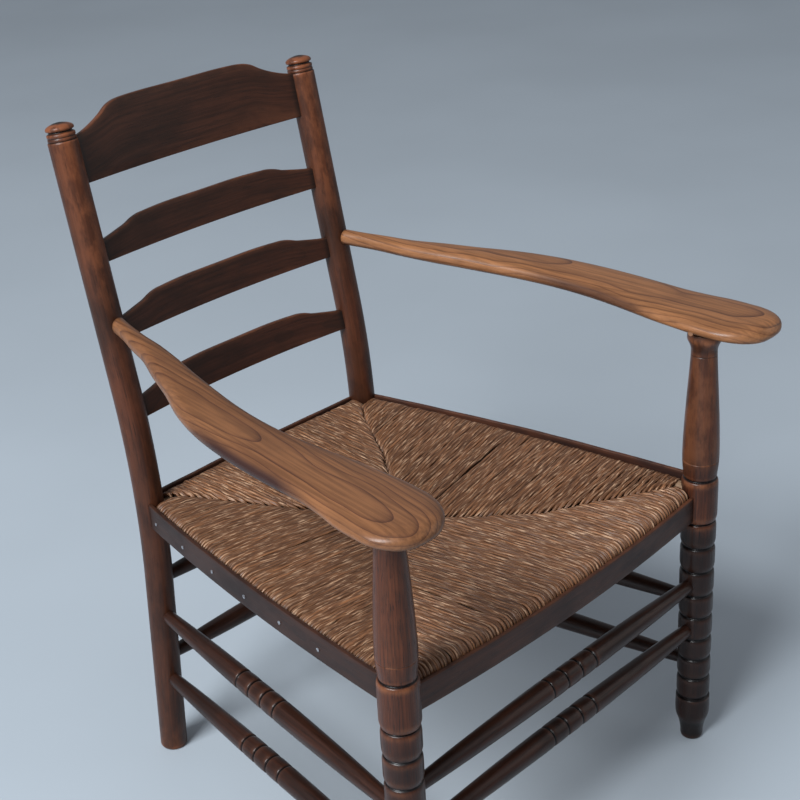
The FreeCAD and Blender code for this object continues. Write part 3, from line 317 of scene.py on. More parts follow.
def dress_surface(tree, surface, look, strength, depth):
    """Give a surface a look's colour and roughness, and its height as relief of a depth in metres."""
    relief = {"Strength": strength, "Distance": depth, "Height": look.outputs["Height"]}
    bump = add_node(tree, "ShaderNodeBump", relief)
    tree.links.new(look.outputs["Color"], surface.inputs["Base Color"])
    tree.links.new(look.outputs["Roughness"], surface.inputs["Roughness"])
    tree.links.new(bump.outputs[0], surface.inputs["Normal"])


# How many features a metre the wood's noises have across, through and along the grain.
WANDER_NOISE = (6.0, 6.0, 5.0)
SWAY_NOISE = (18.0, 18.0, 3.5)
PORE_NOISE = (900.0, 900.0, 32.0)
STREAK_NOISE = (260.0, 260.0, 7.0)
BLOTCH_NOISE = (22.0, 22.0, 9.0)
WEAR_NOISE = (60.0, 60.0, 24.0)
SWAY_WIDTH = 0.012
CORE_SQUARE = 0.00007
LATE_SHARPNESS = 6.0


def stained_wood_group():
    """Growth rings, pores and blotches of stained wood, with worn edges, dirty grooves and the painted shade
    that a piece passes in.

    The grain place runs across, through and along the wood, in metres. The rings are circles
    about a pith line under the surface that drifts and wanders, so a flat face shows loops. A ring
    is dark where the part after the point of its number, to a high power, is near one. The root
    of the sum of squares has a small core added, so that no ring closes to a dot.
    """
    inputs = [
        ("Grain", "Vector", None), ("Wear", "Float", 0.0), ("Dirt", "Float", 0.0),
        ("Ring Spacing", "Float", 0.004), ("Pith Depth", "Float", 0.02), ("Pith Drift", "Float", 0.02),
        ("Pith Wander", "Float", 0.02), ("Ring Strength", "Float", 0.6), ("Pore Strength", "Float", 0.6),
        ("Blotch Strength", "Float", 0.5), ("Early", "Color", None), ("Late", "Color", None),
        ("Pore", "Color", None), ("Worn", "Color", None), ("Grime_and_shade", "Color", None),
        ("Gloss Roughness", "Float", 0.3), ("Dull Roughness", "Float", 0.6),
    ]
    group, given, result = new_look("stained_wood", inputs)
    place = given["Grain"]
    parts = add_node(group, "ShaderNodeSeparateXYZ", {0: place}).outputs
    slow = add_noise(group, place, WANDER_NOISE, 2.0)
    sway = add_noise(group, place, SWAY_NOISE, 2.0)
    drift = calculate(group, "MULTIPLY_ADD", parts[2], given["Pith Drift"], given["Pith Depth"])
    wander = calculate(group, "MULTIPLY", calculate(group, "SUBTRACT", slow, 0.5), given["Pith Wander"])
    through = calculate(group, "ADD", calculate(group, "ADD", parts[1], drift), wander)
    across = calculate(group, "MULTIPLY_ADD", calculate(group, "SUBTRACT", sway, 0.5), SWAY_WIDTH, parts[0])
    squares = calculate(group, "ADD", calculate(group, "MULTIPLY", across, across),
                        calculate(group, "MULTIPLY", through, through))
    distance = calculate(group, "SQRT", calculate(group, "ADD", squares, CORE_SQUARE))
    rings = calculate(group, "DIVIDE", distance, given["Ring Spacing"])
    late = calculate(group, "POWER", calculate(group, "FRACT", rings), LATE_SHARPNESS)
    late = calculate(group, "MULTIPLY", late, given["Ring Strength"], clamp=True)
    pores = step_nodes(group, add_noise(group, place, PORE_NOISE, 3.0, 0.6), 0.56, 0.68)
    pores = calculate(group, "MULTIPLY", pores, given["Pore Strength"], clamp=True)
    streaks = add_noise(group, place, STREAK_NOISE, 3.0, 0.6)
    blotches = step_nodes(group, add_noise(group, place, BLOTCH_NOISE, 4.0, 0.6), 0.4, 0.68)
    blotches = calculate(group, "MULTIPLY", blotches, given["Blotch Strength"], clamp=True)
    colour = mix_colours(group, late, given["Early"], given["Late"])
    colour = scale_colour(group, colour, step_nodes(group, streaks, 0.3, 0.7, 0.72, 1.25))
    colour = mix_colours(group, blotches, colour, given["Late"])
    colour = mix_colours(group, pores, colour, given["Pore"])
    uneven = step_nodes(group, add_noise(group, place, WEAR_NOISE, 4.0, 0.65), 0.38, 0.62, 0.25, 1.2)
    worn = calculate(group, "MULTIPLY", given["Wear"], uneven, clamp=True)
    colour = mix_colours(group, worn, colour, given["Worn"])
    # This darkening mark holds dirty grooves, joints and grimy edges, and also the painted shade that some
    # pieces pass in.
    dirt_and_shade_share = calculate(group, "MULTIPLY", given["Dirt"], 1.0, clamp=True)
    colour = mix_colours(group, dirt_and_shade_share, colour, given["Grime_and_shade"])
    dull = calculate(group, "ADD", calculate(group, "MULTIPLY", streaks, 0.6),
                     calculate(group, "MULTIPLY", blotches, 0.5), clamp=True)
    span = calculate(group, "SUBTRACT", given["Dull Roughness"], given["Gloss Roughness"])
    roughness = calculate(group, "MULTIPLY_ADD", dull, span, given["Gloss Roughness"])
    height = calculate(group, "SUBTRACT", calculate(group, "MULTIPLY", streaks, 0.5), pores)
    return put_out(group, result, colour, roughness, height)


# Each wood's colours are its early and late rings, its pores, its worn edges and its dark colour for dirty
# marks and painted shade. Its rings have a spacing and a strength, and its pith a depth, a drift along the
# wood and a wander. Lengths are in metres.
WOOD_LOOKS = {
    "front_post_wood": {
        "colours": ((0.078, 0.022, 0.009), (0.018, 0.007, 0.005), (0.006, 0.003, 0.003),
                    (0.200, 0.072, 0.030), (0.005, 0.003, 0.003)),
        "rings": (0.0032, 0.7), "pith": (0.012, 0.01, 0.02),
        "pores": 0.85, "blotches": 0.75, "roughness": (0.24, 0.5),
    },
    "back_post_wood": {
        "colours": ((0.066, 0.019, 0.008), (0.015, 0.006, 0.004), (0.007, 0.004, 0.003),
                    (0.190, 0.060, 0.024), (0.006, 0.004, 0.003)),
        "rings": (0.003, 0.6), "pith": (0.01, 0.008, 0.015),
        "pores": 0.8, "blotches": 0.6, "roughness": (0.3, 0.55),
    },
    "stretcher_wood": {
        "colours": ((0.034, 0.012, 0.007), (0.010, 0.005, 0.004), (0.005, 0.003, 0.003),
                    (0.085, 0.034, 0.020), (0.004, 0.003, 0.003)),
        "rings": (0.003, 0.6), "pith": (0.01, 0.01, 0.02),
        "pores": 0.7, "blotches": 0.6, "roughness": (0.25, 0.5),
    },
    "slat_wood": {
        "colours": ((0.050, 0.016, 0.008), (0.016, 0.007, 0.004), (0.006, 0.003, 0.003),
                    (0.120, 0.040, 0.018), (0.006, 0.004, 0.003)),
        "rings": (0.005, 0.4), "pith": (0.03, 0.01, 0.02),
        "pores": 0.45, "blotches": 0.6, "roughness": (0.36, 0.55),
    },
    "arm_wood": {
        "colours": ((0.262, 0.110, 0.044), (0.080, 0.029, 0.015), (0.095, 0.038, 0.020),
                    (0.340, 0.150, 0.065), (0.035, 0.014, 0.011)),
        "rings": (0.0075, 1.1), "pith": (0.024, -0.045, 0.05),
        "pores": 0.35, "blotches": 0.25, "roughness": (0.32, 0.5),
    },
    "strip_wood": {
        "colours": ((0.066, 0.023, 0.012), (0.011, 0.006, 0.006), (0.007, 0.004, 0.004),
                    (0.150, 0.052, 0.024), (0.006, 0.004, 0.004)),
        "rings": (0.004, 0.4), "pith": (0.02, 0.01, 0.02),
        "pores": 0.5, "blotches": 0.7, "roughness": (0.34, 0.6),
    },
    "hidden_rail_wood": {
        "colours": ((0.240, 0.150, 0.090), (0.150, 0.085, 0.050), (0.090, 0.050, 0.030),
                    (0.300, 0.190, 0.110), (0.060, 0.035, 0.025)),
        "rings": (0.0035, 0.5), "pith": (0.02, 0.01, 0.02),
        "pores": 0.4, "blotches": 0.3, "roughness": (0.6, 0.8),
    },
    "peg_wood": {
        "colours": ((0.200, 0.100, 0.055), (0.080, 0.038, 0.025), (0.040, 0.020, 0.015),
                    (0.260, 0.130, 0.070), (0.020, 0.012, 0.010)),
        "rings": (0.0012, 0.7), "pith": (0.004, 0.0, 0.002),
        "pores": 0.4, "blotches": 0.3, "roughness": (0.4, 0.6),
    },
}


WOOD_INPUTS = ("Early", "Late", "Pore", "Worn", "Grime_and_shade", "Ring Spacing", "Ring Strength", "Pith Depth",
               "Pith Drift", "Pith Wander", "Pore Strength", "Blotch Strength", "Gloss Roughness",
               "Dull Roughness")
WOOD_SPECULAR = 0.24
WOOD_COAT_ROUGHNESS = 0.2


def wood_material(look_name, group, coat, own_grain):
    """Stained wood that reads the piece's own grain, wear and darkening, which holds dirty marks and painted
    shade, or else its object place.
    """
    material, tree, surface = new_material(look_name)
    look = add_node(tree, "ShaderNodeGroup", node_tree=group)
    if own_grain:
        read_fields(tree, look, (("grain", "Vector"), ("wear", "Fac"), ("dirt", "Fac")))
    else:
        place = add_node(tree, "ShaderNodeTexCoord")
        tree.links.new(place.outputs["Object"], look.inputs["Grain"])
    wood_look = WOOD_LOOKS[look_name]
    values = (*[opaque(colour) for colour in wood_look["colours"]], *wood_look["rings"], *wood_look["pith"],
              wood_look["pores"], wood_look["blotches"], *wood_look["roughness"])
    for label, value in zip(WOOD_INPUTS, values):
        look.inputs[label].default_value = value
    dress_surface(tree, surface, look, 0.5, 0.0003)
    surface.inputs["Coat Weight"].default_value = coat
    surface.inputs["Specular IOR Level"].default_value = WOOD_SPECULAR
    surface.inputs["Coat Roughness"].default_value = WOOD_COAT_ROUGHNESS
    return material


# How many features a metre the rush has along a strand. Round it, places run from minus one to one.
WOBBLE_NOISE = (0.6, 0.6, 30.0)
FIBRE_NOISE = (2.6, 2.6, 28.0)
GLINT_NOISE = (1.3, 1.3, 52.0)


def twisted_rush_group():
    """Colour and relief of a cord twisted from flat leaves.

    The lay place is the cosine and the sine of the angle round the cord and the way along it in
    metres. The leaves are bands of the angle times a whole number plus a turn per length. The creases
    between them are painted shade, darkened towards the deep colour, and pale glints on the leaves are
    painted highlights.
    """
    inputs = [("Lay", "Vector", None), ("Tone", "Float", 0.5), ("Leaves", "Float", 3.0),
              ("Turn", "Float", 130.0), ("Deep", "Color", None), ("Body", "Color", None),
              ("Glint_highlight", "Color", None)]
    group, given, result = new_look("twisted_rush", inputs)
    parts = add_node(group, "ShaderNodeSeparateXYZ", {0: given["Lay"]}).outputs
    angle = calculate(group, "ARCTAN2", parts[1], parts[0])
    wobble = add_noise(group, given["Lay"], WOBBLE_NOISE, 2.0)
    turn = calculate(group, "MULTIPLY", parts[2], given["Turn"])
    phase = calculate(group, "MULTIPLY_ADD", angle, given["Leaves"], turn)
    phase = calculate(group, "MULTIPLY_ADD", wobble, 9.0, phase)
    band = calculate(group, "MULTIPLY_ADD", calculate(group, "SINE", phase), 0.5, 0.5)
    fibres = add_noise(group, given["Lay"], FIBRE_NOISE, 3.0, 0.6)
    glints = step_nodes(group, add_noise(group, given["Lay"], GLINT_NOISE, 2.0, 0.6), 0.52, 0.68)
    body = step_nodes(group, fibres, 0.3, 0.66, 0.35, 1.0)
    colour = mix_colours(group, body, given["Deep"], given["Body"])
    colour = scale_colour(group, colour, step_nodes(group, given["Tone"], 0.0, 1.0, 0.72, 1.3))
    # Painted shade: the creases between the twisted leaves darken towards the deep colour.
    crease = calculate(group, "MULTIPLY_ADD", band, 0.65, 0.35)
    colour = mix_colours(group, crease, given["Deep"], colour)
    # Painted highlight: pale glints on the raised leaves between the creases.
    pale = calculate(group, "MULTIPLY", glints, crease, clamp=True)
    colour = mix_colours(group, pale, colour, given["Glint_highlight"])
    roughness = step_nodes(group, fibres, 0.3, 0.7, 0.62, 0.42)
    height = calculate(group, "MULTIPLY_ADD", fibres, 0.35, band)
    return put_out(group, result, colour, roughness, height)


def rush_material(name, group, colours):
    """Rush whose deep, body and pale colours are given."""
    material, tree, surface = new_material(name)
    look = add_node(tree, "ShaderNodeGroup", node_tree=group)
    read_fields(tree, look, (("lay", "Vector"), ("tone", "Fac")))
    for label, colour in zip(("Deep", "Body", "Glint_highlight"), colours):
        look.inputs[label].default_value = opaque(colour)
    dress_surface(tree, surface, look, 0.7, 0.0006)
    return material


def padding_material(colour):
    """Crushed dark rush under the strands."""
    material, tree, surface = new_material("rush_padding")
    place = add_node(tree, "ShaderNodeTexCoord").outputs["Object"]
    fibres = add_noise(tree, place, (400.0, 60.0, 200.0), 3.0)
    shade = mix_colours(tree, fibres, opaque(colour, 0.4), opaque(colour))
    tree.links.new(shade, surface.inputs["Base Color"])
    surface.inputs["Roughness"].default_value = 0.9
    return material


def worn_steel_material():
    """Grey steel with spots of rust."""
    material, tree, surface = new_material("worn_nail_steel")
    place = add_node(tree, "ShaderNodeTexCoord").outputs["Object"]
    rust = step_nodes(tree, add_noise(tree, place, (500.0, 500.0, 500.0), 3.0), 0.45, 0.65)
    colour = mix_colours(tree, rust, (0.45, 0.46, 0.50, 1.0), (0.10, 0.07, 0.06, 1.0))
    tree.links.new(colour, surface.inputs["Base Color"])
    tree.links.new(step_nodes(tree, rust, 0.0, 1.0, 0.35, 0.75), surface.inputs["Roughness"])
    surface.inputs["Metallic"].default_value = 0.8
    return material


MATERIALS = {}


def wood(look_name, coat, own_grain=True):
    """The material of a wood look, made once."""
    if "stained_wood" not in MATERIALS:
        MATERIALS["stained_wood"] = stained_wood_group()
    if look_name not in MATERIALS:
        MATERIALS[look_name] = wood_material(look_name, MATERIALS["stained_wood"], coat, own_grain)
    return MATERIALS[look_name]


# Front posts.

GROOVE_RADIUS = 19.4
FRONT_GROOVES = (70.1, 103.1, 134.5, 166.3, 200.3, 234.0, 270.2, 306.5, 343.0, 404.5)
BOBBIN_RADII = (22.1, 22.2, 22.3, 22.4, 22.5, 22.6, 22.7, 22.8, 23.5)
SHOULDER_HEIGHT = 8.0
SHOULDER_DEPTH = 3.6
LIP_HEIGHT = 9.0
LIP_DEPTH = 2.3
FOOT_SHAPE = ((0, 11.8), (1.2, 13.6), (4.5, 15.0), (10, 15.2), (26, 17.8), (41, 22.4), (46, 22.8), (66, 22.6))
SUPPORT_SHAPE = ((404.5, 19.6), (406, 20.6), (412, 21.6), (425, 23.0), (438, 23.3), (455, 23.0), (482, 21.9),
                 (511, 20.3), (540, 18.4), (563, 17.0), (576, 16.4), (583, 16.5), (589, 18.4), (596, 21.4),
                 (600, 21.5), (604.5, 20.8))
SCRIBE_LINES = (430.0, 575.0)
GROOVE_WIDTH = 1.3
SCRIBE_DEPTH = 0.45
SUPPORT_WEAR = {"left": 0.4, "right": 1.5}
# Painted shade on each front leg below the block, deeper on the right leg.
LEG_SHADE = {"left": 0.45, "right": 0.8}


def front_post_radius(height):
    """Radius of a front post: a foot, bobbins between grooves, and the swelling arm support.

    A bobbin has a quarter-round upper shoulder and a lower side that tapers to a sharp lip.
    """
    radius = smooth_curve(height, *zip(*FOOT_SHAPE))
    support = smooth_curve(height, *zip(*SUPPORT_SHAPE))
    radius = np.where(height > FRONT_GROOVES[-1], support, radius)
    for low, high, full in zip(FRONT_GROOVES[:-1], FRONT_GROOVES[1:], BOBBIN_RADII):
        to_top = np.clip((high - height) / SHOULDER_HEIGHT, 0, 1)
        to_low = np.clip((height - low) / LIP_HEIGHT, 0, 1)
        bobbin = (full - SHOULDER_DEPTH * (1 - np.sqrt(1 - (1 - to_top) ** 2))
                  - LIP_DEPTH * (1 - to_low) ** 1.5)
        radius = np.where((height >= low) & (height < high), bobbin, radius)
    for groove in FRONT_GROOVES:
        near = np.clip(np.abs(height - groove) / GROOVE_WIDTH, 0, 1)
        radius = np.minimum(radius, GROOVE_RADIUS + (radius - GROOVE_RADIUS) * near ** 2)
    for line in SCRIBE_LINES:
        radius = radius - SCRIBE_DEPTH * np.exp(-((height - line) / 0.6) ** 2)
    return radius


def front_post_rows():
    """Heights of the rows of a front post, closer together at its grooves and lines."""
    near = np.array([-5, -3.5, -2.4, -1.5, -0.9, -0.5, -0.2, 0, 0.2, 0.5, 0.9, 1.6, 2.8, 4.5, 6.5])
    fine = [groove + near for groove in FRONT_GROOVES] + [line + near / 3 for line in SCRIBE_LINES]
    rows = np.concatenate([np.arange(0, 604.5, 2.0), [0.5, 1.2, 603.5, 604.5]] + fine)
    return np.unique(np.round(rows, 2))


def make_front_post(label, side):
    """A turned post whose support and scribe line are worn and whose leg is darkened with painted shade."""
    heights = front_post_rows()
    count = len(heights)
    centres = np.stack([np.full(count, side * FRONT_HALF), np.zeros(count), heights], axis=1)
    upward = np.tile([0.0, 0.0, 1.0], (count, 1))
    support_wear = 0.22 * step_between(heights, 410, 450) * SUPPORT_WEAR[label]
    support_wear = support_wear + 0.9 * np.exp(-((heights - SCRIBE_LINES[0]) / 0.8) ** 2)
    # Painted shade: the leg is darkened below the block, fading out between 320 and 350 mm.
    extra_darkening = LEG_SHADE[label] * (1 - step_between(heights, 320, 350))
    add_turned_piece("front_post_" + label, centres, upward, front_post_radius(heights), heights,
                     wood("front_post_wood", 0.15), "turned_post_wood", grain_start=1.3 + side * 0.7,
                     extra_wear=support_wear[:, None], extra_darkening=extra_darkening[:, None])


# Back posts.

# Distances from the top of a back post with the radius there: two rings, a cove and a flat dome.
FINIAL_SHAPE = ((-22.2, 16.9), (-21.9, 17.4), (-20.0, 17.6), (-18.2, 17.4), (-17.5, 16.5), (-16.8, 17.4),
                (-15.0, 17.6), (-13.1, 17.4), (-12.6, 16.6), (-11.2, 14.3), (-10.4, 14.4), (-9.2, 16.8),
                (-8.6, 17.4), (-7.0, 17.6), (-5.6, 17.1), (-4.2, 15.6), (-2.8, 13.0), (-1.6, 9.8),
                (-0.7, 6.4), (-0.15, 3.0), (0.0, 0.4))
FOOT_ROUND = 5.0


def back_post_line(distance):
    """Centres and directions along a back post: a straight line, an arc and a straight line."""
    lower = BEND_START / math.cos(KICK)
    upper = lower + BEND_RADIUS * (KICK + RAKE)
    lean = np.clip((distance - lower) / BEND_RADIUS - KICK, -KICK, RAKE)
    bent_depth = BEND_START_DEPTH + BEND_RADIUS * (math.cos(KICK) - np.cos(lean))
    bent_height = BEND_START + BEND_RADIUS * (math.sin(KICK) + np.sin(lean))
    before = np.minimum(distance - lower, 0)
    after = np.maximum(distance - upper, 0)
    depth = bent_depth - before * math.sin(KICK) + after * math.sin(RAKE)
    height = bent_height + before * math.cos(KICK) + after * math.cos(RAKE)
    direction = np.stack([np.zeros_like(lean), np.sin(lean), np.cos(lean)], axis=1)
    return depth, height, direction


def back_post_profile():
    """Way along a back post and its radius there, with a rounded foot and a turned finial."""
    length = BEND_START / math.cos(KICK) + BEND_RADIUS * (KICK + RAKE) + UPPER_LENGTH
    foot = FOOT_ROUND * np.array([0.0, 0.06, 0.16, 0.3, 0.5, 0.72, 1.0])
    foot_radius = BACK_RADIUS - FOOT_ROUND + FOOT_ROUND * np.sqrt(1 - (1 - foot / FOOT_ROUND) ** 2)
    shaft = np.arange(8.0, length - 23.0, 4.0)
    tops, radii = zip(*FINIAL_SHAPE)
    return (np.concatenate([foot, shaft, [length - 22.8], length + np.array(tops)]),
            np.concatenate([foot_radius, np.full(len(shaft) + 1, BACK_RADIUS), radii]))


def make_back_post(label, side):
    """A turned and bent post, worn on its upper front, dirty at the arm and darker towards the floor."""
    distance, radii = back_post_profile()
    depth, height, direction = back_post_line(distance)
    centres = np.stack([np.full(len(distance), side * BACK_HALF), depth, height], axis=1)
    angle = np.arange(POST_SIDES) * 2 * math.pi / POST_SIDES
    front_face = np.clip(-np.sin(angle), 0, 1)[None, :]
    wear = 0.15 + 0.5 * step_between(height, 520, 800)[:, None] * front_face
    wear = wear + 0.3 * (1 - step_between(height, 10, 60))[:, None]
    # Dirty at the arm joint, and darker towards the floor below 480 mm.
    extra_darkening = 0.55 * np.exp(-((height - ARM_REAR_HEIGHT) / 45) ** 2) + 0.35 * (1 - step_between(height, 60, 480))
    add_turned_piece("back_post_" + label, centres, direction, radii, distance, wood("back_post_wood", 0.1),
                     "back_post_wood", grain_start=3.1 + side * 0.9, extra_wear=wear, extra_darkening=extra_darkening[:, None])


# Stretchers.

STRETCHER_END_RADIUS = 8.0
STRETCHER_SWELL = 6.0
TURNING_PITCH = 27.5
TURNING_DEPTH = 2.2
STRETCHER_TIP = 4.0


def post_place(front, side, height):
    """A place on the axis of a front or back post."""
    if front:
        return np.array([side * FRONT_HALF, 0.0, height])
    return np.array([side * BACK_HALF, float(back_axis(height)), height])


STRETCHER_ENDS = {
    "stretcher_front_upper": (post_place(True, -1, 248.9), post_place(True, 1, 248.9), 7.0),
    "stretcher_front_lower": (post_place(True, -1, 179.8), post_place(True, 1, 179.8), 7.0),
    "stretcher_left_upper": (post_place(True, -1, 219.0), post_place(False, -1, 225.0), 22.0),
    "stretcher_right_upper": (post_place(True, 1, 219.0), post_place(False, 1, 225.0), 22.0),
    "stretcher_left_lower": (post_place(True, -1, 122.0), post_place(False, -1, 121.0), 22.0),
    "stretcher_right_lower": (post_place(True, 1, 122.0), post_place(False, 1, 121.0), 22.0),
    "stretcher_rear_upper": (post_place(False, -1, 277.5), post_place(False, 1, 277.5), None),
    "stretcher_rear_lower": (post_place(False, -1, 151.0), post_place(False, 1, 151.0), None),
}


def stretcher_radius(distance, length, shift):
    """A long swelling with three rings between four grooves; the rear ones are plain."""
    radius = STRETCHER_END_RADIUS + STRETCHER_SWELL * (1 - (2 * distance / length - 1) ** 2)
    if shift is None:
        return radius
    from_middle = distance - length / 2 - shift
    for groove in (np.arange(4) - 1.5) * TURNING_PITCH:
        radius = radius - TURNING_DEPTH * np.exp(-((from_middle - groove) / 1.3) ** 2)
    in_ring = np.abs(((from_middle / TURNING_PITCH + 0.5) % 1.0) * 2 - 1)
    ringed = np.abs(from_middle) < 1.5 * TURNING_PITCH
    return radius - np.where(ringed, 0.9 * in_ring ** 5, 0.0)


def make_stretcher(name, number):
    """A turned stick from post to post, with its rows closer together at its grooves."""
    start, end, shift = STRETCHER_ENDS[name]
    direction = (end - start) / np.linalg.norm(end - start)
    start, end = start + direction * STRETCHER_TIP, end - direction * STRETCHER_TIP
    length = float(np.linalg.norm(end - start))
    distance = np.arange(0, length, 4.0)
    if shift is not None:
        near = np.array([-4, -2.6, -1.8, -1.2, -0.7, -0.3, 0, 0.3, 0.7, 1.2, 1.8, 2.6, 4])
        grooves = [length / 2 + shift + groove + near for groove in (np.arange(4) - 1.5) * TURNING_PITCH]
        distance = np.unique(np.round(np.concatenate([distance] + grooves), 2))
    centres = start + direction * distance[:, None]
    add_turned_piece(name, centres, np.tile(direction, (len(distance), 1)),
                     stretcher_radius(distance, length, shift), distance, wood("stretcher_wood", 0.15),
                     "stretcher_wood", sides=STRETCHER_SIDES, grain_start=0.7 * number, reference=(0, 0, 1))


# Slats.

SLAT_BOW = 16.0
SLAT_THICKNESS = 8.0
SLAT_REACH = 190.0
SLAT_ARRIS = 1.8
# How far a slat's top lies under its middle, at distances from the middle.
CREST_FALL = ((0, 0), (86, 0), (96, 0.4), (108, 2.0), (118, 5.2), (132, 13.5), (150, 21.8), (175, 29.4),
              (190, 31.0))
PLAIN_FALL = ((0, 0), (76, 0.1), (97, 1.0), (110, 1.8), (122, 4.4), (133, 8.4), (147, 11.6), (175, 17.0),
              (190, 18.5))
PLAIN_HEIGHT = 45.3
# Bottom, height and fall of each slat.
SLATS = {
    "crest_slat": (806.5, 89.1, CREST_FALL),
    "upper_slat": (709.0, PLAIN_HEIGHT, PLAIN_FALL),
    "middle_slat": (611.5, PLAIN_HEIGHT, PLAIN_FALL),
    "lower_slat": (508.0, PLAIN_HEIGHT, PLAIN_FALL),
}


def rounded_section(half_width, half_height, arris, corner_steps=4, side_steps=4):
    """Closed outline of a rectangle with round arrises, one row for each pair of half sizes.

    Each corner is a quarter circle, and its sides are straight lines split into a few steps.
    """
    quarter = np.linspace(0, math.pi / 2, corner_steps + 1)
    rows = []
    for start, (side_x, side_y) in enumerate(((1, 1), (-1, 1), (-1, -1), (1, -1))):
        angle = quarter + start * math.pi / 2
        across = side_x * (half_width - arris)[:, None] + arris * np.cos(angle)[None, :]
        upward = side_y * (half_height - arris)[:, None] + arris * np.sin(angle)[None, :]
        rows.append(np.stack([across, upward], axis=-1))
    parts = []
    share = (np.arange(1, side_steps) / side_steps)[None, :, None]
    for row, following in zip(rows, rows[1:] + rows[:1]):
        parts.append(row)
        parts.append(row[:, -1:, :] * (1 - share) + following[:, :1, :] * share)
    return np.concatenate(parts, axis=1)


def make_slat(name, number):
    """A board bent backward in an arc, whose top falls from its middle to the posts."""
    bottom, height, fall = SLATS[name]
    across = np.linspace(-SLAT_REACH, SLAT_REACH, 191)
    drop = smooth_curve(np.abs(across), *zip(*fall))
    base = (bottom - BEND_END) / math.cos(RAKE)
    half_height = (height - drop) / 2
    section = rounded_section(np.full(len(across), SLAT_THICKNESS / 2), half_height, SLAT_ARRIS, 4, 8)
    clear = BACK_HALF - BACK_RADIUS
    bow = SLAT_BOW * (1 - (across / clear) ** 2)
    lean = np.arctan(2 * SLAT_BOW * across / clear ** 2)
    through = section[:, :, 0]
    rise = base + half_height[:, None] + section[:, :, 1]
    local_x = across[:, None] + through * np.sin(lean)[:, None]
    local_y = bow[:, None] + through * np.cos(lean)[:, None]
    places = np.stack([local_x, BEND_END_DEPTH + local_y * math.cos(RAKE) + rise * math.sin(RAKE),
                       BEND_END + rise * math.cos(RAKE) - local_y * math.sin(RAKE)], axis=-1)
    grain = np.stack([section[:, :, 1], through, np.broadcast_to(across[:, None], through.shape)], axis=-1)
    edge = np.clip(np.abs(section[:, :, 1]) - (half_height - 2.2)[:, None], 0, 1)
    right_low = step_between(across, 20, 150)[:, None] * step_between(-section[:, :, 1], 0, 30)
    wear = 0.8 * edge + 0.4 * right_low
    near_post = step_between(np.abs(across), 168, 178)[:, None] * np.ones_like(wear) * 0.7
    columns = section.shape[1]
    faces = ring_faces(len(across), columns)
    faces = [face[::-1] for face in faces]
    add_piece(name, places.reshape(-1, 3), faces, wood("slat_wood", 0.08), "slat_wood", (name,),
              grain=grain.reshape(-1, 3) * MILLIMETRE + np.array([0.0, 0.0, 1.1 * number]),
              wear=wear.ravel(), dirt=near_post.ravel())


# Arms.

ARM_STATIONS = (541, 510, 480, 440, 400, 350, 300, 250, 200, 150, 100, 60, 30, 0, -20, -82)
ARM_OUTER = (206, 214, 225, 237.5, 256, 277, 301, 318, 328, 334, 337, 339, 344, 350.5, 352, 352)
ARM_INNER = (186, 194, 200, 206, 215, 228.5, 240, 250, 256, 257, 253.5, 249.5, 248, 247, 248.5, 252)
ARM_TIP = -82.0
NOSE_START = -26.0
NOSE_MIDDLE = 305.0
ARM_FRONT_HEIGHT = 617.0
ARM_REAR_HEIGHT = 640.0
ARM_REAR = 558.0
ARM_HALF_THICKNESS = 12.25
ARM_SIDES = 72
ARM_MIDDLE = 290.0
# Painted shade: the whole left arm is darkened, a shaded copy of the right arm.
ARM_SHADE = {"left": 0.3, "right": 0.0}


